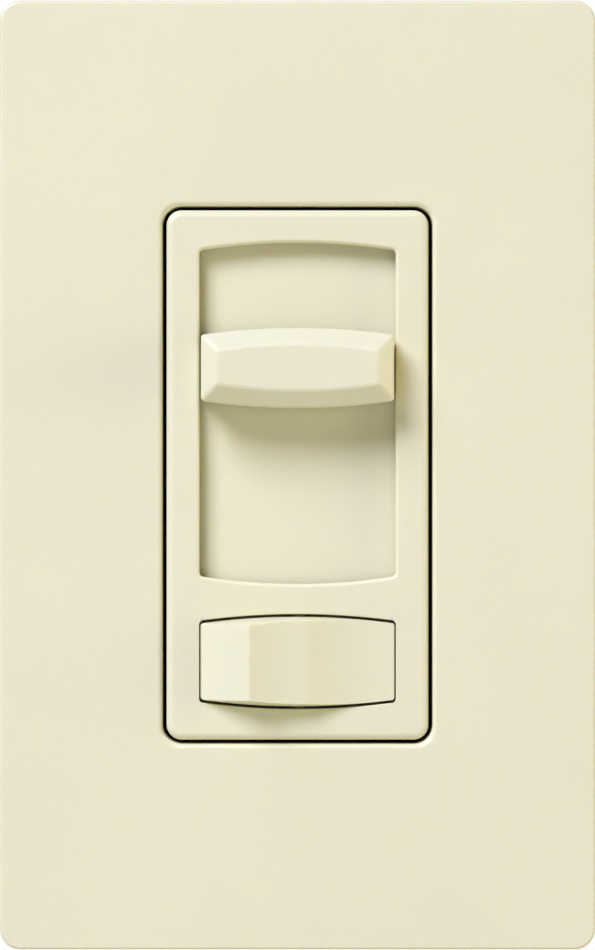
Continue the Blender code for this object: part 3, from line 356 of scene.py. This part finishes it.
def ramp(tree, source, low, high, start=0.35, stop=0.65):
    """Turns a pattern's value into a colour between two colours."""
    node = tree.nodes.new("ShaderNodeValToRGB")
    first, last = node.color_ramp.elements
    first.position, last.position = start, stop
    first.color, last.color = (*low, 1.0), (*high, 1.0)
    tree.links.new(source, node.inputs["Fac"])
    return node.outputs["Color"]


def spread(tree, source, low, high):
    """Maps a pattern's value to a range, for roughness."""
    node = tree.nodes.new("ShaderNodeMapRange")
    node.inputs["From Min"].default_value = 0.3
    node.inputs["From Max"].default_value = 0.7
    node.inputs["To Min"].default_value = low
    node.inputs["To Max"].default_value = high
    tree.links.new(source, node.inputs["Value"])
    return node.outputs["Result"]


def add_bump(tree, shader, source, height):
    """Relief of the given height, from a pattern."""
    node = tree.nodes.new("ShaderNodeBump")
    node.inputs["Strength"].default_value = 1.0
    node.inputs["Distance"].default_value = height
    tree.links.new(source, node.inputs["Height"])
    tree.links.new(node.outputs["Normal"], shader.inputs["Normal"])


def scaled(colour, factor):
    return tuple(min(1.0, channel * factor) for channel in colour)


def moulded_plastic(name, colour, roughness, grain, depth, milky=0.0, shine=0.5):
    """Moulded plastic: a fine spark-eroded grain, faint flow marks and a little light inside."""
    made, tree, shader = new_material(name, roughness)
    flow = noise(tree, 30 * MM, detail=2.0)
    shade = ramp(tree, flow, scaled(colour, 0.985), scaled(colour, 1.01))
    tree.links.new(shade, shader.inputs["Base Color"])
    patches = noise(tree, 4 * MM, detail=4.0)
    tree.links.new(spread(tree, patches, roughness - 0.04, roughness + 0.04), shader.inputs["Roughness"])
    fine = noise(tree, grain, detail=2.0, roughness=0.6)
    add_bump(tree, shader, fine, depth)
    shader.inputs["IOR"].default_value = 1.49
    shader.inputs["Specular IOR Level"].default_value = shine
    if milky:
        shader.inputs["Subsurface Weight"].default_value = milky
        shader.inputs["Subsurface Radius"].default_value = (1.0, 0.62, 0.22)
        shader.inputs["Subsurface Scale"].default_value = 1.0 * MM
    return made


IVORY = (0.797, 0.76, 0.488)
ivory = moulded_plastic("ivory_plastic", IVORY, 0.42, 0.35 * MM, 0.006 * MM, milky=0.35)
# Painted shade: the adapter is coloured near-black so that the trim gap around the bezel reads as deep
# shadow
shadow_black = moulded_plastic(
    "adapter_plastic", (0.012, 0.011, 0.009), 0.75, 0.4 * MM, 0.01 * MM, shine=0.2
)


def drawn_metal(name, colour, roughness, stretch, depth=0.004 * MM):
    """Rolled or turned metal: fine lines one way, and a duller bloom in patches."""
    made, tree, shader = new_material(name, roughness, metallic=1.0)
    bloom = noise(tree, 9 * MM, detail=4.0)
    shade = ramp(tree, bloom, scaled(colour, 0.86), scaled(colour, 1.04))
    tree.links.new(shade, shader.inputs["Base Color"])
    lines = noise(tree, 0.25 * MM, detail=3.0, stretch=stretch)
    tree.links.new(spread(tree, lines, roughness - 0.07, roughness + 0.1), shader.inputs["Roughness"])
    add_bump(tree, shader, lines, depth)
    return made


def speckled(name, low, high, grain, roughness, depth):
    """A pressed or laminated material with a two-tone speckle."""
    made, tree, shader = new_material(name, roughness)
    fleck = noise(tree, grain, detail=4.0, roughness=0.65)
    tree.links.new(ramp(tree, fleck, low, high, 0.42, 0.58), shader.inputs["Base Color"])
    tree.links.new(spread(tree, fleck, roughness - 0.06, roughness + 0.06), shader.inputs["Roughness"])
    add_bump(tree, shader, fleck, depth)
    return made


def wound_copper():
    """Enamelled wire laid side by side, drawn as rounded bands whose colour darkens into the grooves
    between turns: painted shade.
    """
    made, tree, shader = new_material("enamelled_copper", 0.3, metallic=1.0)
    coordinates = tree.nodes.new("ShaderNodeTexCoord")
    wave = tree.nodes.new("ShaderNodeTexWave")
    wave.wave_type = "BANDS"
    wave.bands_direction = "DIAGONAL"
    wave.inputs["Scale"].default_value = 420.0
    wave.inputs["Distortion"].default_value = 0.4
    tree.links.new(coordinates.outputs["Object"], wave.inputs["Vector"])
    # Dark in the grooves between turns, copper-coloured on the crowns: painted shade, beside the bump
    # relief below
    shade = ramp(tree, wave.outputs["Fac"], (0.30, 0.10, 0.04), (0.72, 0.32, 0.14), 0.1, 0.9)
    tree.links.new(shade, shader.inputs["Base Color"])
    add_bump(tree, shader, wave.outputs["Fac"], 0.12 * MM)
    return made


strap_metal = drawn_metal("strap_aluminium", (0.74, 0.75, 0.76), 0.36, (1.0, 1.0, 0.03))
zinc = drawn_metal("zinc_plated_steel", (0.62, 0.64, 0.67), 0.28, (1.0, 0.2, 1.0))
brass = drawn_metal("brass", (0.78, 0.58, 0.25), 0.27, (1.0, 0.3, 0.3))
green_steel = drawn_metal("green_steel", (0.06, 0.36, 0.13), 0.38, (1.0, 0.2, 1.0))
black_abs = moulded_plastic("black_plastic", (0.028, 0.028, 0.03), 0.48, 0.4 * MM, 0.012 * MM)
nylon = moulded_plastic("white_nylon", (0.84, 0.80, 0.66), 0.4, 0.5 * MM, 0.006 * MM, milky=0.4)
laminate = speckled(
    "board_laminate", (0.02, 0.13, 0.05), (0.05, 0.22, 0.09), 0.5 * MM, 0.4, 0.01 * MM
)
ferrite = speckled("ferrite", (0.05, 0.05, 0.055), (0.13, 0.13, 0.135), 0.2 * MM, 0.62, 0.02 * MM)
carbon = speckled("carbon_track", (0.02, 0.02, 0.02), (0.07, 0.07, 0.07), 0.15 * MM, 0.6, 0.01 * MM)
pad_rubber = speckled(
    "insulating_pad", (0.42, 0.42, 0.45), (0.55, 0.55, 0.57), 0.3 * MM, 0.8, 0.02 * MM
)
film_shell = speckled(
    "capacitor_shell", (0.68, 0.46, 0.08), (0.76, 0.54, 0.12), 3 * MM, 0.3, 0.01 * MM
)
resistor_shell = speckled(
    "resistor_shell", (0.62, 0.50, 0.34), (0.72, 0.60, 0.43), 0.6 * MM, 0.45, 0.02 * MM
)
copper = wound_copper()


def rounded_copy(name, node, width, steps=3):
    """A copy of a frame node with its triangles merged into faces and its edges rounded."""
    source = nodes[node]
    piece = bpy.data.objects.new(name, source.data.copy())
    bpy.context.scene.collection.objects.link(piece)
    only(piece)
    bpy.ops.object.mode_set(mode="EDIT")
    bpy.ops.mesh.select_all(action="SELECT")
    bpy.ops.mesh.remove_doubles(threshold=10 * CLOSE)
    bpy.ops.mesh.dissolve_limited(angle_limit=math.radians(1.0))
    to_object_mode()
    if piece.data.has_custom_normals:
        bpy.ops.mesh.customdata_custom_splitnormals_clear()
    return round_edges(piece, width, steps, limit=32)


# ---------------------------------------------------------------- wallplate

def make_wallplate():
    """A ring-shaped face bridged between two rounded outlines, its sides and lip drawn back."""
    width = cover_high.x - cover_low.x
    height = cover_high.z - cover_low.z
    opening_width = bezel_high.x - bezel_low.x + 2 * TRIM_GAP
    opening_height = bezel_high.z - bezel_low.z + 2 * TRIM_GAP
    plate = sheet_facing_room("wallplate", width, height, cover_low.y)
    round_corners(plate, PLATE_CORNER, 10)
    opening = sheet_facing_room("plate_opening", opening_width, opening_height, cover_low.y)
    round_corners(opening, OPENING_CORNER, 10)
    bpy.ops.object.select_all(action="DESELECT")
    opening.select_set(True)
    plate.select_set(True)
    bpy.context.view_layer.objects.active = plate
    bpy.ops.object.join()
    bpy.ops.object.mode_set(mode="EDIT")
    bpy.ops.mesh.select_mode(type="EDGE")
    bpy.ops.mesh.select_all(action="SELECT")
    bpy.ops.mesh.delete(type="ONLY_FACE")
    bpy.ops.mesh.select_all(action="SELECT")
    bpy.ops.mesh.bridge_edge_loops()
    bpy.ops.object.mode_set(mode="OBJECT")

    def outside(co):
        past_side = abs(co.x) > opening_width / 2 + PLATE_WALL
        return past_side or abs(co.z) > opening_height / 2 + PLATE_WALL

    def at_front(co):
        return abs(co.y - cover_low.y) < CLOSE

    def select_rim(outer):
        select(
            plate,
            "EDGE",
            lambda a, b: at_front(a) and at_front(b) and outside(a) == outside(b) == outer,
        )

    lip_back = adapter_low.y - LIP_CLEARANCE
    for outer, reach in ((True, cover_high.y), (False, lip_back)):
        select_rim(outer)
        bpy.ops.mesh.extrude_edges_move(TRANSFORM_OT_translate={"value": (0, reach - cover_low.y, 0)})
    bpy.ops.mesh.select_all(action="SELECT")
    bpy.ops.mesh.normals_make_consistent(inside=False)
    for outer, radius in ((True, PLATE_EDGE), (False, PLATE_LIP_EDGE)):
        select_rim(outer)
        bpy.ops.mesh.bevel(offset=radius, offset_type="OFFSET", segments=7, affect="EDGES")
    to_object_mode()
    add_modifier(plate, "SOLIDIFY", thickness=PLATE_WALL, offset=-1.0, use_even_offset=True)
    add_plate_hooks(plate)
    finish_piece(plate, ivory, "device", "wallplate_cover")


def add_plate_hooks(plate):
    """Four hooks on the inner walls that snap behind the adapter's edge."""
    front = adapter_high.y + HOOK_CLEARANCE
    inner = cover_high.z - PLATE_WALL
    for x in (-HOOK_OFFSET, HOOK_OFFSET):
        for end in (-1, 1):
            bottom, top = sorted((end * (inner - HOOK_REACH), end * (inner + PLATE_WALL / 2)))
            low = (x - HOOK_HALF_WIDTH, front, bottom)
            high = (x + HOOK_HALF_WIDTH, front + HOOK_THICKNESS, top)
            combine(plate, "UNION", round_edges(block("plate_hook", low, high), HOOK_EDGE, 2))


# ---------------------------------------------------------------- bezel and slide

def window_sheet(name, y, grow=0.0):
    """The slide window's arched outline."""
    half_width = WINDOW_HALF + grow
    top, bottom = WINDOW_TOP + grow, WINDOW_BOTTOM - grow
    sheet = sheet_facing_room(
        name, 2 * half_width, top - bottom - 2 * WINDOW_ARCH, y, (top + bottom) / 2, columns=32
    )
    return bow(round_corners(sheet, WINDOW_CORNER, 4), WINDOW_ARCH, (top + bottom) / 2)


def make_bezel():
    """Shell with a rounded front edge, the window's walls and the rocker's opening."""
    width = bezel_high.x - bezel_low.x
    height = bezel_high.z - bezel_low.z
    shell = sheet_facing_room("bezel_face", width, height, bezel_face)
    round_corners(shell, BEZEL_CORNER, 10)
    draw_back(shell, bezel_high.y)
    select(shell, "EDGE", on_bezel_face)
    bpy.ops.mesh.bevel(offset=BEZEL_EDGE, offset_type="OFFSET", segments=9, affect="EDGES")
    to_object_mode()
    inside = sheet_facing_room(
        "bezel_inside", width - 2 * BEZEL_WALL, height - 2 * BEZEL_WALL, bezel_face + BEZEL_WALL
    )
    round_corners(inside, BEZEL_INNER_CORNER, 5)
    draw_back(inside, bezel_high.y + BEYOND)
    combine(shell, "DIFFERENCE", inside)
    sunk = bezel_face + BEZEL_WALL / 2
    walls = draw_back(
        window_sheet("window_walls", sunk, WINDOW_WALL), bezel_face + WINDOW_WALL_DEPTH
    )
    window = draw_back(window_sheet("window", bezel_face - BEYOND), bezel_face + 3 * BEYOND)
    combine(shell, "UNION", walls)
    combine(shell, "DIFFERENCE", window, rocker_opening())
    select(shell, "EDGE", is_window_edge)
    bpy.ops.mesh.bevel(offset=WINDOW_EDGE, offset_type="OFFSET", segments=5, affect="EDGES")
    to_object_mode()
    select(shell, "EDGE", is_rocker_opening_edge)
    bpy.ops.mesh.bevel(offset=OPENING_EDGE, offset_type="OFFSET", segments=3, affect="EDGES")
    to_object_mode()
    add_bezel_lugs(shell, sunk)
    finish_piece(shell, ivory, "device", "bezel")


def add_bezel_lugs(shell, sunk):
    """The rocker's bored lugs and the stakes that hold the slide's floor, behind the face."""
    lug_inner = ROCKER_TALL / 2 + ROCKER_GAP
    lug_back = rocker_pivot.y + PIN_RADIUS + LUG_BEHIND_PIN
    for side in (-1, 1):
        ends = (lug_inner, lug_inner + LUG_THICKNESS)
        bottom, top = sorted(rocker_pivot.z + side * end for end in ends)
        lug = block("bezel_lug", (-LUG_HALF_WIDTH, sunk, bottom), (LUG_HALF_WIDTH, lug_back, top))
        combine(shell, "UNION", round_edges(lug, LUG_EDGE, 2))
    for x in (-STAKE_OFFSET, STAKE_OFFSET):
        for z in (floor_low.z + STAKE_INSET, floor_high.z - STAKE_INSET):
            stake = bar("bezel_stake", (x, sunk, z), (x, floor_high.y, z), STAKE_RADIUS, 20)
            combine(shell, "UNION", round_edges(stake, STAKE_EDGE, 2))
    reach = Vector((0, 0, BEARING_REACH))
    bore = PIN_RADIUS + PIN_CLEARANCE
    bearing = bar("bezel_bearing", rocker_pivot - reach, rocker_pivot + reach, bore)
    combine(shell, "DIFFERENCE", bearing)


def on_bezel_face(a, b):
    return abs(a.y - bezel_face) < CLOSE and abs(b.y - bezel_face) < CLOSE


def is_on_window(co):
    """True for a point on the window's outline, to within its rounded corners."""
    beyond = co.z > WINDOW_TOP + 0.1 * MM or co.z < WINDOW_BOTTOM - 0.1 * MM
    if beyond or abs(co.x) > WINDOW_HALF + 10 * CLOSE:
        return False
    drop = WINDOW_ARCH * (co.x / WINDOW_HALF) ** 2
    top = WINDOW_TOP - drop
    bottom = WINDOW_BOTTOM + drop
    near_corner = abs(co.x) > WINDOW_HALF - 0.5 * MM
    tolerance = 0.5 * MM if near_corner else 0.02 * MM
    on_side = abs(abs(co.x) - WINDOW_HALF) < 10 * CLOSE
    return on_side or abs(co.z - top) < tolerance or abs(co.z - bottom) < tolerance


def is_bridge(a, b):
    """True for an edge that runs across the face between two outlines."""
    long_edge = (a - b).length > 3 * MM
    along_side = abs(a.x - b.x) < CLOSE and abs(abs(a.x) - WINDOW_HALF) < 10 * CLOSE
    return long_edge and not along_side


def is_window_edge(a, b):
    on_outline = is_on_window(a) and is_on_window(b)
    return on_bezel_face(a, b) and on_outline and not is_bridge(a, b)


def is_rocker_opening_edge(a, b):
    if not on_bezel_face(a, b):
        return False
    half = ROCKER_HALF + ROCKER_END_GAP
    near = 0.05 * MM

    def on_outline(co):
        x, z = abs(co.x), abs(co.z - rocker_pivot.z)
        edge = ROCKER_TALL / 2 + ROCKER_GAP - ROCKER_ARCH * (x / half) ** 2
        if x > half + near or z > edge + 0.08 * MM:
            return False
        in_corner = x > half - OPENING_END_CORNER - near and z > edge - OPENING_END_CORNER - near
        return in_corner or z > edge - 0.08 * MM or x > half - near

    return on_outline(a) and on_outline(b) and (a - b).length < ROCKER_TALL


def rocker_drum(name, radius):
    """A drum about the rocker's pivot, whose wall is the rocker's ends."""
    to_object_mode()
    bpy.ops.object.select_all(action="DESELECT")
    bpy.ops.mesh.primitive_cylinder_add(
        vertices=160, radius=radius, depth=DRUM_LENGTH, location=rocker_pivot
    )
    drum = bpy.context.object
    drum.name = name
    bpy.ops.object.transform_apply(location=True, rotation=True, scale=True)
    return drum


def rocker_sheet(name, y, grow):
    """The rocker's arched outline, a little wider than its ends."""
    half = ROCKER_HALF + ROCKER_END_GAP
    wide = half + BEYOND
    arch = ROCKER_ARCH * (wide / half) ** 2
    tall = ROCKER_TALL + 2 * grow - 2 * arch
    sheet = sheet_facing_room(name, 2 * wide, tall, y, rocker_pivot.z, columns=14)
    return bow(sheet, arch, rocker_pivot.z)


def end_radius():
    return math.hypot(ROCKER_HALF + ROCKER_END_GAP, rocker_pivot.y - bezel_face)


def round_ends(piece, drum_radius, radius):
    """Rounds the four corners where the drum's wall meets the arched sides."""

    side_height = ROCKER_TALL / 2 - ROCKER_ARCH - 0.45 * MM

    def in_corner(co):
        off_wall = math.hypot(co.x, co.y - rocker_pivot.y) - drum_radius
        return abs(off_wall) < 10 * CLOSE and abs(co.z - rocker_pivot.z) > side_height

    def is_corner(a, b):
        same_side = (a.z > rocker_pivot.z) == (b.z > rocker_pivot.z) and (a.x > 0) == (b.x > 0)
        return same_side and in_corner(a) and in_corner(b)

    select(piece, "EDGE", is_corner)
    bpy.ops.mesh.bevel(offset=radius, offset_type="OFFSET", segments=5, affect="EDGES")
    to_object_mode()
    return piece


def rocker_opening():
    sheet = rocker_sheet("rocker_opening", bezel_face - BEYOND, ROCKER_GAP)
    cut = draw_back(sheet, bezel_face + 3 * BEYOND)
    combine(cut, "INTERSECT", rocker_drum("opening_drum", end_radius()))
    return round_ends(cut, end_radius(), OPENING_END_CORNER)


def make_slide_floor():
    panel = block("slide_panel", floor_low, floor_high)
    round_edges(panel, FLOOR_EDGE, 2)
    finish_piece(panel, ivory, "device", "slide_floor")


def make_knob():
    """Straight walls, four bevels and a smaller, slightly hollow front, bowed at top and bottom."""
    half_width = (knob_high.x - knob_low.x) / 2
    half_height = (knob_high.z - knob_low.z) / 2
    middle = (knob_high.z + knob_low.z) / 2
    shoulder = knob_low.y + KNOB_BEVEL_DEPTH
    knob = sheet_facing_room(
        "knob", 2 * half_width, 2 * half_height, knob_high.y, middle, columns=36
    )
    only(knob)
    bpy.ops.object.mode_set(mode="EDIT")
    bpy.ops.mesh.select_all(action="SELECT")
    bpy.ops.mesh.extrude_region_move(TRANSFORM_OT_translate={"value": (0, shoulder - knob_high.y, 0)})
    bpy.ops.mesh.extrude_region_move(TRANSFORM_OT_translate={"value": (0, knob_low.y - shoulder, 0)})
    bpy.ops.mesh.select_all(action="SELECT")
    bpy.ops.mesh.normals_make_consistent(inside=False)
    to_object_mode()
    for vert in knob.data.vertices:
        along = vert.co.x / half_width
        side = 1 if vert.co.z > middle else -1
        if vert.co.y < shoulder - CLOSE:
            vert.co.x = along * KNOB_FRONT_HALF_WIDTH
            vert.co.y += KNOB_HOLLOW * (1 - along**2)
            vert.co.z = middle + side * (KNOB_FRONT_HALF_HEIGHT - KNOB_FRONT_ARCH * along**2)
        else:
            vert.co.z = middle + side * (half_height - KNOB_ARCH * along**2)
    round_edges(knob, KNOB_EDGE, 5, limit=18)
    finish_piece(knob, ivory, "slider", "slider_knob")


# ---------------------------------------------------------------- rocker

ROCKER_FRONT = (
    # x, height above the bezel, how far the facet that starts here dips in its middle
    (-12.6, 0.02, 0.0),
    (-6.0, ROCKER_CREST, 0.32),
    (1.25, 2.15, 0.3),
    (8.65, 0.15, 0.0),
    (13.0, -0.05, 0.0),
)


def rocker_front_points():
    """The front's outline from left to right, with shallow dips drawn as short chords."""
    points = []
    for (x0, h0, dip), (x1, h1, _) in zip(ROCKER_FRONT, ROCKER_FRONT[1:]):
        steps = 8 if dip else 1
        for step in range(steps):
            share = step / steps
            height = h0 + (h1 - h0) * share - dip * 4 * share * (1 - share)
            points.append((x0 + (x1 - x0) * share, height))
    points.append(ROCKER_FRONT[-1][:2])
    return points


def make_rocker():
    """Facets drawn along Z, trimmed by drafted arched sides and by a drum about the pivot."""
    points = [(x * MM, bezel_face - height * MM) for x, height in rocker_front_points()]
    back = rocker_pivot.y + ROCKER_BACK
    low = (points[0][0], points[0][1], rocker_pivot.z - BLANK_HALF)
    rocker = block("rocker", low, (points[-1][0], back, rocker_pivot.z + BLANK_HALF))
    for x, _ in points[1:-1]:
        only(rocker)
        bpy.ops.object.mode_set(mode="EDIT")
        bpy.ops.mesh.select_all(action="SELECT")
        bpy.ops.mesh.bisect(plane_co=(x, 0, 0), plane_no=(1, 0, 0))
    to_object_mode()
    for vert in rocker.data.vertices:
        if vert.co.y < back - BEYOND:
            nearest = min(points, key=lambda point: abs(point[0] - vert.co.x))
            vert.co.y = nearest[1]

    crest = bezel_face - (ROCKER_CREST + 0.02) * MM
    sides = rocker_sheet("rocker_sides", crest, -ROCKER_DRAFT)
    only(sides)
    bpy.ops.object.mode_set(mode="EDIT")
    bpy.ops.mesh.select_all(action="SELECT")
    bpy.ops.mesh.extrude_region_move(TRANSFORM_OT_translate={"value": (0, bezel_face - crest, 0)})
    to_object_mode()
    for vert in sides.data.vertices:
        if vert.co.y > crest + BEYOND:
            vert.co.z += ROCKER_DRAFT if vert.co.z > rocker_pivot.z else -ROCKER_DRAFT
    select(sides, "FACE", lambda centre, normal: centre.y > bezel_face - CLOSE)
    bpy.ops.mesh.extrude_region_move(TRANSFORM_OT_translate={"value": (0, back + BEYOND - bezel_face, 0)})
    bpy.ops.mesh.select_all(action="SELECT")
    bpy.ops.mesh.normals_make_consistent(inside=False)
    to_object_mode()
    own_radius = end_radius() - ROCKER_END_GAP
    combine(rocker, "INTERSECT", sides, rocker_drum("rocker_drum", own_radius))
    add_modifier(rocker, "WELD", merge_threshold=20 * CLOSE)
    round_ends(rocker, own_radius, ROCKER_CORNER)
    round_edges(rocker, ROCKER_EDGE, 3, limit=20)
    add_modifier(rocker, "WELD", merge_threshold=10 * CLOSE)
    add_rocker_stem(rocker, back)
    finish_piece(rocker, ivory, "rocker", "rocker_button")


def add_rocker_stem(rocker, back):
    """Hollows the button and adds its bored stem and its two trunnions."""

    def along_stem(reach):
        return rocker_pivot + reach * Vector((-math.sin(STEM_LEAN), math.cos(STEM_LEAN), 0))

    reach = ROCKER_HALF - 2 * ROCKER_WALL
    tall = ROCKER_TALL / 2 - ROCKER_ARCH - ROCKER_WALL
    low = (-reach, bezel_face + ROCKER_WALL, rocker_pivot.z - tall)
    high = (reach, back + BEYOND, rocker_pivot.z + tall)
    combine(rocker, "DIFFERENCE", block("rocker_hollow", low, high))
    root = bezel_face - rocker_pivot.y
    stem = bar("rocker_stem", along_stem(root), along_stem(STEM_REACH), STEM_RADIUS)
    combine(rocker, "UNION", stem)
    for side in (-1, 1):
        edge = rocker_pivot + Vector((0, 0, side * ROCKER_TALL / 2))
        inner = edge - Vector((0, 0, side * ROCKER_WALL))
        outer = edge + Vector((0, 0, side * TRUNNION_REACH))
        combine(rocker, "UNION", bar("rocker_trunnion", inner, outer, PIN_RADIUS))
    bore = bar("stem_bore", along_stem(STEM_FLOOR), along_stem(STEM_REACH + BEYOND), STEM_BORE)
    combine(rocker, "DIFFERENCE", bore)


# ---------------------------------------------------------------- behind the bezel

REFINED = (
    # new name, frame node, finish, body, edge radius in mm
    # the adapter's near-black finish is painted shade for the trim gap
    ("adapter_frame", "wallplate_adapter", shadow_black, "device", 0.25),
    ("strap", "mounting_strap", strap_metal, "device", 0.15),
    ("slide_carrier", "slider_carrier", nylon, "slider", 0.12),
    ("slide_bridge", "slider_bridge", nylon, "slider", 0.2),
    ("wiper_block", "pot_wiper", black_abs, "slider", 0.2),
    ("pot_shell", "pot_case", zinc, "device", 0.2),
    ("board", "circuit_board", laminate, "device", 0.1),
    ("switch_block", "switch_base", black_abs, "device", 0.3),
    ("cradle", "contact_cradle", brass, "device", 0.12),
    ("seesaw", "contact_seesaw", brass, "seesaw", 0.12),
    ("still_contact", "fixed_contact", brass, "device", 0.1),
    ("power_device", "triac", black_abs, "device", 0.12),
    ("capacitor", "film_capacitor", film_shell, "device", 0.6),
    ("core", "choke_core", ferrite, "device", 0.5),
    ("winding", "choke_winding", copper, "device", 0.3),
    ("resistor_body", "resistor", resistor_shell, "device", 0.4),
    ("line_plate", "terminal_plate_line", brass, "device", 0.15),
    ("load_plate", "terminal_plate_load", brass, "device", 0.15),
    ("line_screw", "terminal_screw_line", brass, "device", 0.2),
    ("load_screw", "terminal_screw_load", brass, "device", 0.2),
    ("ground_screw_fine", "ground_screw", green_steel, "device", 0.2),
    ("adapter_screw_upper", "adapter_screw_top", zinc, "device", 0.2),
    ("adapter_screw_lower", "adapter_screw_bottom", zinc, "device", 0.2),
    ("device_screw_upper", "mounting_screw_top", zinc, "device", 0.2),
    ("device_screw_lower", "mounting_screw_bottom", zinc, "device", 0.2),
    ("rivet", "triac_rivet", zinc, "device", 0.15),
    ("plunger_pin", "plunger", nylon, "rocker", 0.15),
)

# Frame nodes that keep their own mesh and only get a finish
KEPT = {
    "pot_track": carbon,
    "triac_pad": pad_rubber,
    "plunger_spring": zinc,
}
KEPT.update({f"housing_screw_{number}": zinc for number in (1, 2, 3, 4)})


def make_hidden_pieces():
    """Rounded copies of the pieces behind the front, and finishes for the small ones."""
    for name, node, finish, body, radius in REFINED:
        finish_piece(rounded_copy(name, node, radius * MM), finish, body, node)
    make_housing()
    for node, finish in KEPT.items():
        nodes[node].data.materials.clear()
        nodes[node].data.materials.append(finish)


def make_housing():
    """Moulded box with a shallow panel and ejector marks behind, and ribs at its left side."""
    low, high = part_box("back_housing")
    housing = rounded_copy("housing", "back_housing", HOUSING_EDGE, steps=4)
    panel = block(
        "housing_panel",
        (low.x + PANEL_INSET, high.y - PANEL_DEPTH, low.z + PANEL_INSET),
        (high.x - PANEL_INSET, high.y + BEYOND, high.z - PANEL_INSET),
    )
    combine(housing, "DIFFERENCE", round_edges(panel, PANEL_EDGE, 3))
    for x in (low.x + MARK_INSET, high.x - MARK_INSET):
        for z in (low.z + MARK_INSET, high.z - MARK_INSET):
            start = (x, high.y - MARK_DEPTH, z)
            combine(housing, "DIFFERENCE", bar("ejector_mark", start, (x, high.y, z), MARK_RADIUS))
    for step in range(RIBS):
        z = (step - (RIBS - 1) / 2) * RIB_SPACING
        start = (low.x, low.y + RIB_INSET, z)
        rib = bar("housing_rib", start, (low.x, high.y - RIB_INSET, z), RIB_RADIUS, 16)
        combine(housing, "UNION", rib)
    finish_piece(housing, black_abs, "device", "back_housing")


# ---------------------------------------------------------------- camera, light and floor

VIEW_MARGIN = 1.0005  # the plate fills the view from top to bottom
FLOOR_DROP = 240 * MM
FLOOR_BACK = 1.8  # how far the studio floor reaches behind the wall


def make_camera():
    distance = 450 * MM
    view_height = (cover_high.z - cover_low.z) * VIEW_MARGIN
    data = bpy.data.cameras.new("camera")
    data.sensor_width = 36.0
    data.lens = 36.0 * distance / view_height
    data.clip_start = 0.01
    data.clip_end = 20.0
    camera = bpy.data.objects.new("camera", data)
    camera.location = (0, cover_low.y - distance, 0)
    camera.rotation_euler = (math.pi / 2, 0, 0)
    bpy.context.scene.collection.objects.link(camera)
    bpy.context.scene.camera = camera


def add_area_light(name, place, size, power, colour):
    data = bpy.data.lights.new(name, "AREA")
    data.shape = "RECTANGLE"
    data.size, data.size_y = size
    data.energy = power
    data.color = colour
    light = bpy.data.objects.new(name, data)
    light.location = place
    light.rotation_mode = "QUATERNION"
    light.rotation_quaternion = (-Vector(place)).to_track_quat("-Z", "Y")
    bpy.context.scene.collection.objects.link(light)


def make_studio():
    bpy.ops.object.select_all(action="DESELECT")
    size = 12.0
    middle = (0, FLOOR_BACK - size / 2, cover_low.z - FLOOR_DROP)
    bpy.ops.mesh.primitive_plane_add(size=size, location=middle)
    ground = bpy.context.object
    ground.name = "studio_floor"
    pale, _, _ = new_material("studio_floor", 0.8, colour=(0.88, 0.84, 0.62))
    ground.data.materials.append(pale)

    world = bpy.data.worlds.new("studio")
    bpy.context.scene.world = world
    world.use_nodes = True
    tree = world.node_tree
    seen = tree.nodes["Background"]
    seen.inputs["Color"].default_value = (1.0, 1.0, 1.0, 1.0)
    fill = tree.nodes.new("ShaderNodeBackground")
    fill.inputs["Color"].default_value = (1.0, 0.83, 0.3, 1.0)
    fill.inputs["Strength"].default_value = 0.025
    mix = tree.nodes.new("ShaderNodeMixShader")
    rays = tree.nodes.new("ShaderNodeLightPath")
    tree.links.new(rays.outputs["Is Camera Ray"], mix.inputs["Fac"])
    tree.links.new(fill.outputs["Background"], mix.inputs[1])
    tree.links.new(seen.outputs["Background"], mix.inputs[2])
    tree.links.new(mix.outputs["Shader"], tree.nodes["World Output"].inputs["Surface"])

    add_area_light("key", (-1.3, -1.78, 1.98), (1.5, 1.5), 140.0, (0.685, 0.713, 1.0))
    add_area_light("right_fill", (2.3, -0.5, -0.1), (1.2, 1.4), 38.0, (1.0, 0.92, 0.74))
    scene = bpy.context.scene
    scene.view_settings.view_transform = "Standard"


make_wallplate()
make_bezel()
make_slide_floor()
make_knob()
make_rocker()
make_hidden_pieces()
make_camera()
make_studio()
